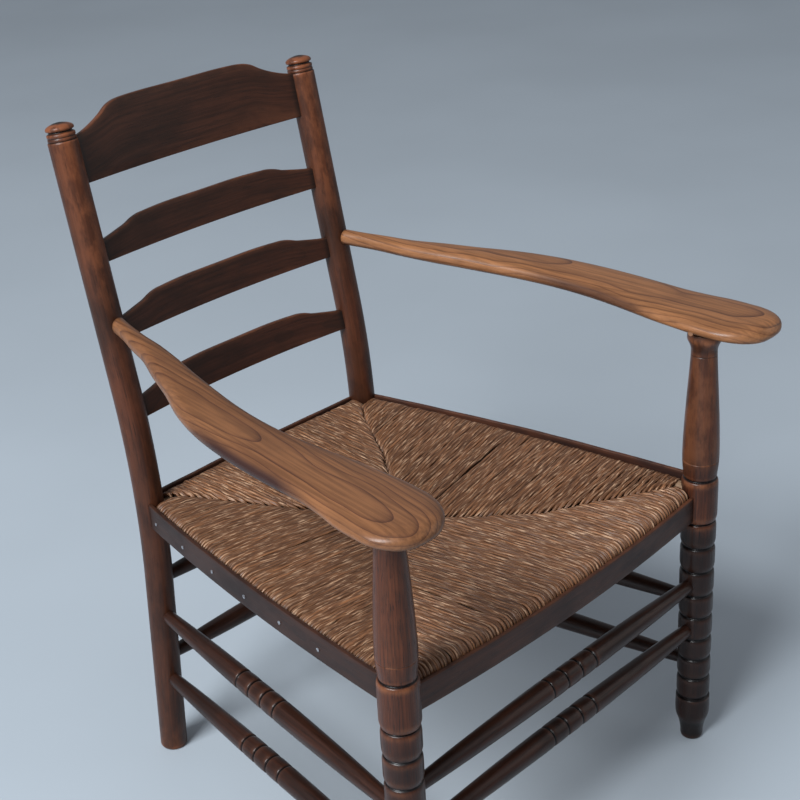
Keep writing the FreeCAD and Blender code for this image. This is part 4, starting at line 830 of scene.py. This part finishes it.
def make_arm(label, side):
    """A flat curved board with heavily rounded edges: a squashed ellipse carried along a curve.

    Its outline is two smooth curves, closed at the nose by a rounded power curve.
    """
    body = np.linspace(536, NOSE_START, 150)
    nose = NOSE_START - (NOSE_START - ARM_TIP) * np.sin(np.linspace(0, math.pi / 2, 26)[1:] * 0.999)
    depth = np.concatenate([body, nose])
    knots = np.array(ARM_STATIONS[::-1], float)
    outer = smooth_curve(depth, knots, ARM_OUTER[::-1])
    inner = smooth_curve(depth, knots, ARM_INNER[::-1])
    into_nose = np.clip((NOSE_START - depth) / (NOSE_START - ARM_TIP), 0, 1)
    narrowing = (1 - into_nose ** 2.15) ** (1 / 2.15)
    middle = (outer + inner) / 2 * (1 - into_nose) + NOSE_MIDDLE * into_nose
    half_width = (outer - inner) / 2 * narrowing
    thinning = (1 - into_nose ** 5) ** 0.45
    half_thickness = ARM_HALF_THICKNESS * thinning * (0.86 + 0.14 * step_between(half_width, 9, 30))
    height = ARM_FRONT_HEIGHT + (ARM_REAR_HEIGHT - ARM_FRONT_HEIGHT) * depth / ARM_REAR
    angle = np.arange(ARM_SIDES) * 2 * math.pi / ARM_SIDES
    cosine, sine = np.cos(angle), np.sin(angle)
    flat = 0.62 + 0.38 * (1 - step_between(half_width, 10, 26))
    wide = np.sign(cosine)[None, :] * np.abs(cosine)[None, :] ** flat[:, None]
    tall = np.sign(sine)[None, :] * np.abs(sine)[None, :] ** 0.92
    across = (middle[:, None] + half_width[:, None] * wide) * side
    up = height[:, None] + half_thickness[:, None] * tall
    depths = np.broadcast_to(depth[:, None], across.shape)
    places = np.stack([across, depths, up], axis=-1)
    beside = (np.abs(across) - ARM_MIDDLE) * side
    grain = np.stack([beside, up - height[:, None], -depths], axis=-1) * MILLIMETRE
    swing = 0.10 * (depth[:, None] * MILLIMETRE - 0.25)
    grain[:, :, 0] += swing * side
    edge = np.clip(np.abs(wide) - 0.75, 0, 1) * 3
    # Painted shade: the underside of the arm is darkened, rising from 60 mm to full at 420 mm back.
    lower = step_between(-tall, 0.1, 0.9)
    dirt = 0.5 * lower * step_between(depth, 60, 420)[:, None]
    held = step_between(depth, 40, 110) * (1 - step_between(depth, 190, 300))
    # The edges where the arm is held are grimy, and the left arm's painted shade is added over all of it.
    dirt = dirt + 0.75 * step_between(np.abs(wide), 0.75, 1.0) * held[:, None] + ARM_SHADE[label]
    faces = ring_faces(len(depth), len(angle))
    if side < 0:
        faces = [face[::-1] for face in faces]
    add_piece("arm_" + label, places.reshape(-1, 3), faces, wood("arm_wood", 0.15), "arm_wood",
              ("arm_" + label,),
              grain=grain.reshape(-1, 3) + np.array([0.0, 0.0, 2.0 + side * 0.63]),
              wear=(edge * 0.5).ravel(), dirt=dirt.ravel())


# The seat: its outline, the edge strips and the rush.

STRIP_THICKNESS = 5.0
STRIP_HALF_WIDTH = 17.2
STRIP_ARRIS = 1.0
# How much darker each strip is made, the left strip most.
STRIP_DARKENING = {"left": 0.6, "right": 0.15, "front": 0.15, "rear": 0.15}
RUSH_CLEARANCE = 0.3
SEAT_DEPTH = float(back_axis(SEAT_HEIGHT))
CORNERS = {
    "front_left": (-FRONT_HALF, 0.0), "front_right": (FRONT_HALF, 0.0),
    "rear_left": (-BACK_HALF, SEAT_DEPTH), "rear_right": (BACK_HALF, SEAT_DEPTH),
}
SEAM_CENTRE = (-4.0, 250.0)
# The seams between the panels, from each corner to the middle.
SEAMS = {
    "front_left": ((-232.0, 70.0), (-176.0, 130.0), (-118.0, 180.0), (-50.0, 228.0)),
    "front_right": ((218.0, 44.0), (154.0, 86.5), (102.0, 116.0), (22.0, 209.0)),
    "rear_left": ((-174.5, 515.0), (-130.0, 444.0), (-117.0, 418.0), (-77.0, 353.0)),
    "rear_right": ((189.0, 520.0), (148.0, 472.0), (113.0, 415.5), (90.0, 378.0), (58.0, 339.5)),
}
# Start and end corner of each side, going round so that the seat is on the left of the way,
# then how far the strip's face lies outside the post axes, its bow and its bottom.
SEAT_SIDES = {
    "front": ("front_left", "front_right", 3.8, 15.0, 349.0),
    "right": ("front_right", "rear_right", 9.0, 10.0, 366.5),
    "rear": ("rear_right", "rear_left", 9.0, 4.0, 366.5),
    "left": ("rear_left", "front_left", 9.0, 10.0, 366.5),
}


class SeatSide:
    """One side of the seat: positions along its rail and distances inward from the post axes."""

    def __init__(self, name):
        """The way along runs from the start corner to the end corner, and inward is square to it."""
        start, end, self.offset, self.bow, self.strip_bottom = SEAT_SIDES[name]
        self.start = np.array(CORNERS[start])
        span = np.array(CORNERS[end]) - self.start
        self.length = float(np.linalg.norm(span))
        self.along = span / self.length
        self.inward = np.array([-self.along[1], self.along[0]])
        self.start_corner, self.end_corner = start, end
        self.start_is_front = start.startswith("front")
        self.end_is_front = end.startswith("front")

    def proud(self, position):
        """How far the outer face of the strip lies outside the post axes."""
        share = np.asarray(position, float) / self.length
        return self.offset + self.bow * 4 * share * (1 - share)

    def place(self, position, inward):
        """The start corner plus the position along the rail plus the distance inward."""
        position, inward = np.asarray(position, float), np.asarray(inward, float)
        return self.start + position[..., None] * self.along + inward[..., None] * self.inward

    def seam(self):
        """The seam between this side's strands and its neighbours', as positions and depths inward."""
        points = [tuple(self.start), *SEAMS[self.start_corner], SEAM_CENTRE]
        points += [*reversed(SEAMS[self.end_corner]), tuple(self.start + self.along * self.length)]
        offset = np.array(points) - self.start
        return offset @ self.along, offset @ self.inward


def make_edge_strip(name, number):
    """A thin bowed board along a side of the seat, with a worn upper arris."""
    side = SeatSide(name)
    start_radius = FRONT_RADIUS if side.start_is_front else BACK_RADIUS
    end_radius = FRONT_RADIUS if side.end_is_front else BACK_RADIUS
    hidden = 2.0
    reach = side.length - math.sqrt(end_radius ** 2 - side.offset ** 2) + hidden
    position = np.linspace(math.sqrt(start_radius ** 2 - side.offset ** 2) - hidden, reach, 90)
    count = len(position)
    half_thickness, half_width = np.full(count, STRIP_THICKNESS / 2), np.full(count, STRIP_HALF_WIDTH)
    section = rounded_section(half_thickness, half_width, STRIP_ARRIS, 3, 8)
    waver = 0.25 * np.sin(position / 37.0 + number) + 0.15 * np.sin(position / 13.0)
    middle = -(side.proud(position) - STRIP_THICKNESS / 2)
    inward = middle[:, None] + section[:, :, 0]
    plan = side.place(np.broadcast_to(position[:, None], inward.shape), inward)
    top = (section[:, :, 1] > 0) * waver[:, None]
    up = side.strip_bottom + STRIP_HALF_WIDTH + section[:, :, 1] + top - 0.2
    places = np.concatenate([plan, up[:, :, None]], axis=-1)
    along = np.broadcast_to(position[:, None], inward.shape)
    grain = np.stack([section[:, :, 1], section[:, :, 0], along], axis=-1)
    outer_top = np.clip((section[:, :, 1] - STRIP_HALF_WIDTH + 1.4) / 1.0, 0, 1)
    low_edge = np.clip((-section[:, :, 1] - STRIP_HALF_WIDTH + 1.2) / 1.0, 0, 1)
    faces = [face[::-1] for face in ring_faces(count, section.shape[1])]
    add_piece("edge_strip_" + name, places.reshape(-1, 3), faces, wood("strip_wood", 0.05), "strip_wood",
              ("edge_strip_" + name,),
              grain=grain.reshape(-1, 3) * MILLIMETRE + np.array([0.0, 0.0, 0.9 * number]),
              wear=(outer_top * 0.5 + low_edge * 0.2).ravel(),
              dirt=np.full(outer_top.size, STRIP_DARKENING[name]))


FRONT_TOP = 396.0
REAR_TOP = 402.0
FRONT_EDGE_TOP = 391.0
MIDDLE_TOP = 388.5
FRONT_UNDER = 353.0
REAR_UNDER = 361.0
MIDDLE_UNDER = 366.0
ROLL_RADIUS = 10.5
TOP_STEPS = 20
ROLL_STEPS = 6
UNDER_STEPS = 7
STRAND_SIDES = 6
# Mean tone of each panel's strands, as painted light and shade: the left panel darkest, in the shade of the
# arm and back, and the front lightest.
PANEL_LIGHT_AND_SHADE = {"left": 0.25, "right": 0.5, "front": 0.62, "rear": 0.5}
SPLITS = {"left": (0.41,), "right": (0.52,), "front": (0.3,), "rear": ()}


def rail_height(side, share, front, rear, front_edge=None):
    """Height over the rail between the corner heights, sagging in the middle of the front."""
    first = front if side.start_is_front else rear
    last = front if side.end_is_front else rear
    level = first + (last - first) * share
    if front_edge is not None and side.start_is_front and side.end_is_front:
        level = level + (front_edge - front) * 4 * share * (1 - share)
    return level


def strand_lines(name, pitch, randomness):
    """Centre lines of the strands of one panel, from the seam over the rail and back underneath.

    Each strand is a row of places: a line along the top, a quarter turn over the rail, a short
    drop, a quarter turn under it and a line along the underside.
    """
    side = SeatSide(name)
    start_radius = FRONT_RADIUS if side.start_is_front else BACK_RADIUS
    end_radius = FRONT_RADIUS if side.end_is_front else BACK_RADIUS
    margin = 2.0
    first, last = start_radius + margin, side.length - end_radius - margin
    count = int(round((last - first) / pitch))
    position = first + (np.arange(count) + 0.5) * (last - first) / count
    position = position + randomness.normal(0, 0.25, count)
    share = position / side.length
    seam_position, seam_depth = side.seam()
    depth_here = np.interp(position, seam_position, seam_depth)
    lean = -0.12 * np.sin(share * math.pi) if name == "front" else 0.05 * np.sin(share * 2 * math.pi)
    seam_at = np.clip(position + lean * depth_here, first - 10, last + 10)
    seam_in = np.interp(seam_at, seam_position, seam_depth)
    seam_in = np.maximum(seam_in + 4.0 + randomness.normal(0, 0.7, count), 6.0)
    closeness = np.clip(seam_in / seam_depth.max(), 0, 1)
    top_rail = rail_height(side, share, FRONT_TOP, REAR_TOP, FRONT_EDGE_TOP)
    top_seam = top_rail + (MIDDLE_TOP - top_rail) * closeness
    under_rail = rail_height(side, share, FRONT_UNDER, REAR_UNDER)
    under_seam = under_rail + (MIDDLE_UNDER - under_rail) * closeness
    thickness = pitch / 2
    outer = -(side.proud(position) - STRIP_THICKNESS - RUSH_CLEARANCE - thickness)
    roll = np.minimum(ROLL_RADIUS, (top_rail - under_rail) / 2 - 4)
    roll_in = outer + roll
    reach = np.linspace(0, 1, TOP_STEPS) ** 0.85
    top_in = seam_in[:, None] + (roll_in - seam_in)[:, None] * reach
    sink = 3.2 * (1 - step_between((seam_in[:, None] - top_in), -0.5, 9.0))
    crown = 1.6 * np.sin(reach * math.pi)[None, :]
    top_up = top_seam[:, None] + (top_rail - top_seam)[:, None] * reach + crown - sink - thickness
    turn = np.linspace(0, math.pi / 2, ROLL_STEPS + 1)[1:]
    roll_line = roll_in[:, None] - roll[:, None] * np.sin(turn)
    roll_up = top_rail[:, None] - thickness - roll[:, None] * (1 - np.cos(turn))
    back_turn = np.linspace(0, math.pi / 2, 4)
    under_line = roll_in[:, None] - roll[:, None] * np.cos(back_turn)
    under_up = under_rail[:, None] + thickness + roll[:, None] * (1 - np.sin(back_turn))
    back = np.linspace(0, 1, UNDER_STEPS)[1:]
    back_line = roll_in[:, None] + (seam_in - roll_in)[:, None] * back
    back_up = under_rail[:, None] + thickness + (under_seam - under_rail)[:, None] * back + 4.0 * back ** 8
    inward = np.concatenate([top_in, roll_line, under_line, back_line], axis=1)
    upward = np.concatenate([top_up, roll_up, under_up, back_up], axis=1)
    along_share = np.clip((seam_in[:, None] - inward) / (seam_in - roll_in)[:, None], 0, 1)
    sideways = (position - seam_at)[:, None] * (along_share - 1)
    for split in SPLITS[name]:
        apart = np.sign(share - split) * np.exp(-((share - split) / 0.025) ** 2)
        sideways = sideways + 2.1 * apart[:, None] * np.sin(along_share * math.pi)
    steps = inward.shape[1]
    for waves, size in ((1.5, 0.45), (3.7, 0.3), (8.3, 0.18)):
        phase = randomness.uniform(0, 2 * math.pi, (count, 1))
        sideways = sideways + size * np.sin(along_share * waves * 2 * math.pi + phase)
        upward = upward + size * 0.6 * np.sin(along_share * waves * 5.1 + phase * 2)
    hook = np.exp(-(seam_in[:, None] - inward) / 9.0) * np.where(np.arange(steps) < TOP_STEPS, 1.0, 0.0)
    toward_middle = np.sign(seam_position[np.argmax(seam_depth)] - position)
    sideways = sideways + 3.0 * hook * toward_middle[:, None]
    plan = side.place(position[:, None] + sideways, inward)
    return side, np.concatenate([plan, upward[:, :, None]], axis=-1), thickness


def add_strand_panel(name, pitch, material, replaces, seed):
    """Tubes along the strand lines. A ring's places turn round the line in the rail's direction."""
    randomness = np.random.default_rng(seed)
    side, lines, thickness = strand_lines(name, pitch, randomness)
    count, steps = lines.shape[:2]
    tangent = np.gradient(lines, axis=1)
    tangent /= np.linalg.norm(tangent, axis=2)[:, :, None]
    sideways = np.append(side.along, 0.0)
    sideways = sideways - tangent * (tangent @ sideways)[:, :, None]
    sideways /= np.linalg.norm(sideways, axis=2)[:, :, None]
    outward = np.cross(tangent, sideways)
    angle = np.arange(STRAND_SIDES) * 2 * math.pi / STRAND_SIDES
    size = thickness * (1.01 + randomness.normal(0, 0.07, (count, 1)))
    lengths = np.linalg.norm(np.diff(lines, axis=1), axis=2)
    travelled = np.concatenate([np.zeros((count, 1)), np.cumsum(lengths, axis=1)], axis=1)
    phase = randomness.uniform(0, 2 * math.pi, (count, 1))
    size = size * (1 + 0.08 * np.sin(travelled / 9.0 + phase))
    taper = np.minimum(1.0, 0.35 + 0.65 * step_between(travelled, 0, 5.0))
    size = size * taper
    ring = (np.cos(angle)[None, None, :, None] * sideways[:, :, None, :]
            + np.sin(angle)[None, None, :, None] * outward[:, :, None, :])
    places = lines[:, :, None, :] + ring * size[:, :, None, None]
    along = (travelled * MILLIMETRE + phase)[:, :, None]
    fields = (np.cos(angle), np.sin(angle), along)
    lay = np.stack([np.broadcast_to(field, places.shape[:3]) for field in fields], axis=-1)
    # Each strand's tone varies at random about its panel's mean, which is painted light and shade.
    tone = np.clip(randomness.normal(PANEL_LIGHT_AND_SHADE[name], 0.2, (count, 1, 1)), 0, 1)
    tone = np.broadcast_to(tone, places.shape[:3])
    one = np.array(ring_faces(steps, STRAND_SIDES, caps=False))
    first = (np.arange(count) * steps * STRAND_SIDES)[:, None, None]
    faces = (one[None, :, :] + first).reshape(-1, 4).tolist()
    cap = np.arange(STRAND_SIDES)
    faces += (cap[::-1][None, :] + first[:, :, 0]).tolist()
    faces += (cap[None, :] + first[:, :, 0] + (steps - 1) * STRAND_SIDES).tolist()
    return add_piece("rush_" + name, places.reshape(-1, 3), faces, material, "rush", replaces,
                     lay=lay.reshape(-1, 3), tone=tone.ravel())


PADDING_RINGS = 12
PADDING_DEPTH = 7.5


def add_rush_padding(material):
    """A thin closed pillow under the strands, from the middle of the seat out to the rails.

    Its rings are the outline drawn in towards the middle, first on top and then underneath.
    """
    flat = np.full(PADDING_RINGS, PADDING_DEPTH)
    outline, tops, unders = [], [], []
    for name in SEAT_SIDES:
        side = SeatSide(name)
        position = np.linspace(16, side.length - 16, 40)
        share = position / side.length
        inset = -(side.proud(position) - STRIP_THICKNESS - 7.0)
        outline.append(side.place(position, inset))
        tops.append(rail_height(side, share, FRONT_TOP, REAR_TOP, FRONT_EDGE_TOP))
        unders.append(rail_height(side, share, FRONT_UNDER, REAR_UNDER))
    outline, tops, unders = np.concatenate(outline), np.concatenate(tops), np.concatenate(unders)
    spread = np.linspace(0.02, 0.96, PADDING_RINGS)
    shares = np.concatenate([spread, [0.99, 1.0, 1.0, 0.99], spread[::-1]])
    depths = np.concatenate([flat, [9.0, 14.0, 14.0, 9.0], flat])
    on_top = np.arange(len(shares)) < len(shares) / 2
    centre = np.array(SEAM_CENTRE)
    plan = centre + (outline - centre)[None, :, :] * shares[:, None, None]
    top_level = MIDDLE_TOP + (tops - MIDDLE_TOP)[None, :] * shares[:, None] - depths[:, None]
    under_level = MIDDLE_UNDER + (unders - MIDDLE_UNDER)[None, :] * shares[:, None] + depths[:, None]
    up = np.where(on_top[:, None], top_level, under_level)
    places = np.concatenate([plan, up[:, :, None]], axis=-1)
    faces = [face[::-1] for face in ring_faces(len(shares), len(outline))]
    add_piece("rush_padding", places.reshape(-1, 3), faces, material, "rush", ())


# Stage.

CAMERA_PLACE = (-1234.3, -975.7, 1371.7)
CAMERA_YAW = -45.159
CAMERA_ELEVATION = 25.403
CAMERA_ROLL = -3.262
CAMERA_LENS = 70.91
SENSOR_WIDTH = 36.0
FLOOR_RADIUS = 9.0
FLOOR_SIDES = 96


def camera_matrix():
    """The camera looks along minus its third column. The roll turns the first two about it."""
    yaw, elevation, roll = (math.radians(angle) for angle in (CAMERA_YAW, CAMERA_ELEVATION, CAMERA_ROLL))
    level = math.cos(elevation)
    back = Vector((math.sin(yaw) * level, -math.cos(yaw) * level, math.sin(elevation)))
    right = (-back).cross(Vector((0, 0, 1))).normalized()
    up = right.cross(-back)
    turned_right = right * math.cos(roll) + up * math.sin(roll)
    turned_up = up * math.cos(roll) - right * math.sin(roll)
    matrix = Matrix((turned_right, turned_up, back)).transposed().to_4x4()
    matrix.translation = Vector(to_frame(CAMERA_PLACE))
    return matrix


def add_camera():
    """The camera that the photograph was taken with, as far as it can be worked out."""
    camera = bpy.data.cameras.new("camera")
    camera.lens = CAMERA_LENS
    camera.sensor_width = SENSOR_WIDTH
    camera.clip_end = 50.0
    holder = bpy.data.objects.new("camera", camera)
    holder.matrix_world = camera_matrix()
    bpy.context.scene.collection.objects.link(holder)
    bpy.context.scene.camera = holder


def add_area_light(name, place, target, size, power, colour):
    """A round soft light that looks from a place at a target, in metres."""
    lamp = bpy.data.lights.new(name, "AREA")
    lamp.shape = "DISK"
    lamp.size = size
    lamp.energy = power
    lamp.color = colour
    holder = bpy.data.objects.new(name, lamp)
    holder.location = place
    holder.rotation_euler = (Vector(target) - Vector(place)).to_track_quat("-Z", "Y").to_euler()
    bpy.context.scene.collection.objects.link(holder)


def add_floor(colour):
    """A round pale floor."""
    angle = np.arange(FLOOR_SIDES) * 2 * math.pi / FLOOR_SIDES
    across, backward = FLOOR_RADIUS * np.cos(angle), FLOOR_RADIUS * np.sin(angle)
    places = np.stack([across, backward, np.zeros(FLOOR_SIDES)], axis=1)
    mesh = bpy.data.meshes.new("floor")
    mesh.from_pydata(places.tolist(), [], [list(range(FLOOR_SIDES))])
    material, tree, surface = new_material("pale_floor")
    place = add_node(tree, "ShaderNodeTexCoord").outputs["Object"]
    cloud = step_nodes(tree, add_noise(tree, place, (1.2, 1.2, 1.2), 3.0), 0.3, 0.7)
    shade = mix_colours(tree, cloud, opaque(colour, 0.94), opaque(colour))
    tree.links.new(shade, surface.inputs["Base Color"])
    surface.inputs["Roughness"].default_value = 0.55
    mesh.materials.append(material)
    floor = bpy.data.objects.new("floor", mesh)
    bpy.context.scene.collection.objects.link(floor)


def set_world(colour, strength):
    """Soft light from all round, with the same pale colour seen behind the floor."""
    world = bpy.data.worlds.new("room_light")
    world.use_nodes = True
    tree = world.node_tree
    tree.nodes.clear()
    place = add_node(tree, "ShaderNodeTexCoord").outputs["Generated"]
    up = add_node(tree, "ShaderNodeSeparateXYZ", {0: place}).outputs[2]
    level = step_nodes(tree, up, -0.1, 0.9, 0.75, 1.0)
    channels = {index: calculate(tree, "MULTIPLY", level, channel) for index, channel in enumerate(colour)}
    tint = add_node(tree, "ShaderNodeCombineColor", channels)
    light = add_node(tree, "ShaderNodeBackground", {0: tint.outputs[0], 1: strength})
    result = tree.nodes.new("ShaderNodeOutputWorld")
    tree.links.new(light.outputs[0], result.inputs[0])
    bpy.context.scene.world = world


WINDOW_TINT = (0.93, 0.97, 1.0)
FILL_TINT = (1.0, 0.97, 0.93)
FILL_SHARE = 0.015


# The add-on.

class ChairLooks(bpy.types.PropertyGroup):
    """Sizes and colours that a user would change."""

    rush_pitch: FloatProperty(name="Rush pitch", default=5.4, min=3.0, max=12.0,
                              description="Distance between neighbouring strands, in millimetres")
    # The crease colour is both the dark of the fibres and the painted shade in the creases.
    rush_deep_and_crease_shade: FloatVectorProperty(name="Rush creases", description="Colour between the twisted leaves",
                                   default=(0.052, 0.018, 0.007), subtype="COLOR", size=3)
    rush_body: FloatVectorProperty(name="Rush", description="Colour of the leaves",
                                   default=(0.262, 0.112, 0.047), subtype="COLOR", size=3)
    # The glint colour is a painted highlight on the leaves.
    rush_glint_highlight: FloatVectorProperty(name="Rush glints", description="Colour of the palest leaves",
                                   default=(0.520, 0.320, 0.195), subtype="COLOR", size=3)
    floor_colour: FloatVectorProperty(name="Floor", description="Colour of the pale floor",
                                      default=(0.430, 0.480, 0.530), subtype="COLOR", size=3)
    world_colour: FloatVectorProperty(name="Room light", description="Colour of the light from all round",
                                      default=(0.86, 0.92, 1.0), subtype="COLOR", size=3)
    world_strength: FloatProperty(name="Room light strength", default=0.33, min=0.0, max=5.0,
                                  description="Strength of the light from all round")
    window_power: FloatProperty(name="Window power", description="Power of the large soft light",
                                default=560.0, min=0.0, max=5000.0, unit="POWER")


class CHAIR_OT_stage(bpy.types.Operator):
    """Add the floor, the soft lights and the camera."""

    bl_idname = "chair.stage"
    bl_label = "Stage"

    def execute(self, context):
        looks = context.scene.chair_looks
        context.scene.view_settings.view_transform = "Standard"
        add_floor(looks.floor_colour)
        set_world(looks.world_colour, looks.world_strength)
        add_area_light("window", (-4.6, -0.3, 4.4), (0, 0.3, 0.3), 3.2, looks.window_power, WINDOW_TINT)
        add_area_light("fill", (2.4, -1.8, 1.8), (0, 0, 0.4), 2.4, looks.window_power * FILL_SHARE, FILL_TINT)
        add_camera()
        return {"FINISHED"}


class CHAIR_OT_front_posts(bpy.types.Operator):
    """Turn the bobbin front posts."""

    bl_idname = "chair.front_posts"
    bl_label = "Front posts"

    def execute(self, context):
        for label, side in SIDES:
            make_front_post(label, side)
        return {"FINISHED"}


class CHAIR_OT_back_posts(bpy.types.Operator):
    """Turn and bend the back posts."""

    bl_idname = "chair.back_posts"
    bl_label = "Back posts"

    def execute(self, context):
        for label, side in SIDES:
            make_back_post(label, side)
        return {"FINISHED"}


class CHAIR_OT_stretchers(bpy.types.Operator):
    """Turn the stretchers."""

    bl_idname = "chair.stretchers"
    bl_label = "Stretchers"

    def execute(self, context):
        for number, name in enumerate(STRETCHER_ENDS):
            make_stretcher(name, number)
        return {"FINISHED"}


class CHAIR_OT_slats(bpy.types.Operator):
    """Shape and bend the slats of the back."""

    bl_idname = "chair.slats"
    bl_label = "Slats"

    def execute(self, context):
        for number, name in enumerate(SLATS):
            make_slat(name, number)
        return {"FINISHED"}


class CHAIR_OT_arms(bpy.types.Operator):
    """Shape the arms."""

    bl_idname = "chair.arms"
    bl_label = "Arms"

    def execute(self, context):
        for label, side in SIDES:
            make_arm(label, side)
        return {"FINISHED"}


class CHAIR_OT_edge_strips(bpy.types.Operator):
    """Add the edge strips of the seat."""

    bl_idname = "chair.edge_strips"
    bl_label = "Edge strips"

    def execute(self, context):
        for number, name in enumerate(SEAT_SIDES):
            make_edge_strip(name, number)
        return {"FINISHED"}


class CHAIR_OT_rush_seat(bpy.types.Operator):
    """Weave the rush seat."""

    bl_idname = "chair.rush_seat"
    bl_label = "Rush seat"

    def execute(self, context):
        looks = context.scene.chair_looks
        rush = rush_material("twisted_rush", twisted_rush_group(),
                             (looks.rush_deep_and_crease_shade, looks.rush_body, looks.rush_glint_highlight))
        for seed, name in enumerate(SEAT_SIDES):
            add_strand_panel(name, looks.rush_pitch, rush, ("rush_seat",), seed + 11)
        add_rush_padding(padding_material((0.060, 0.030, 0.016)))
        return {"FINISHED"}


class CHAIR_OT_carried_parts(bpy.types.Operator):
    """Give the rails, nails and pegs of the frame their finish."""

    bl_idname = "chair.carried_parts"
    bl_label = "Rails, nails and pegs"

    def execute(self, context):
        finishes = {"strip_nails": worn_steel_material(), "arm_pegs": wood("peg_wood", 0.3, False)}
        for name in SEAT_SIDES:
            finishes["seat_rail_" + name] = wood("hidden_rail_wood", 0.0, False)
        for node_name, material in finishes.items():
            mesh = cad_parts[node_name].data
            mesh.materials.clear()
            mesh.materials.append(material)
        return {"FINISHED"}


OPERATORS = (CHAIR_OT_stage, CHAIR_OT_front_posts, CHAIR_OT_back_posts, CHAIR_OT_stretchers, CHAIR_OT_slats,
             CHAIR_OT_arms, CHAIR_OT_edge_strips, CHAIR_OT_rush_seat, CHAIR_OT_carried_parts)


class CHAIR_PT_panel(bpy.types.Panel):
    """Lists the parts of the chair."""

    bl_label = "Chair"
    bl_space_type = "VIEW_3D"
    bl_region_type = "UI"
    bl_category = "Chair"

    def draw(self, context):
        for operator in OPERATORS:
            self.layout.operator(operator.bl_idname)
        for field in ChairLooks.__annotations__:
            self.layout.prop(context.scene.chair_looks, field)


def register():
    """Add the classes and the chair's settings."""
    for item in (ChairLooks,) + OPERATORS + (CHAIR_PT_panel,):
        bpy.utils.register_class(item)
    bpy.types.Scene.chair_looks = PointerProperty(type=ChairLooks)


def unregister():
    """Take the classes and the settings away again."""
    del bpy.types.Scene.chair_looks
    for item in reversed((ChairLooks,) + OPERATORS + (CHAIR_PT_panel,)):
        bpy.utils.unregister_class(item)


def main():
    """Dress the frame, piece by piece."""
    register()
    bpy.ops.chair.stage()
    bpy.ops.chair.front_posts()
    bpy.ops.chair.back_posts()
    bpy.ops.chair.stretchers()
    bpy.ops.chair.slats()
    bpy.ops.chair.arms()
    bpy.ops.chair.edge_strips()
    bpy.ops.chair.rush_seat()
    bpy.ops.chair.carried_parts()


if __name__ == "__main__":
    main()
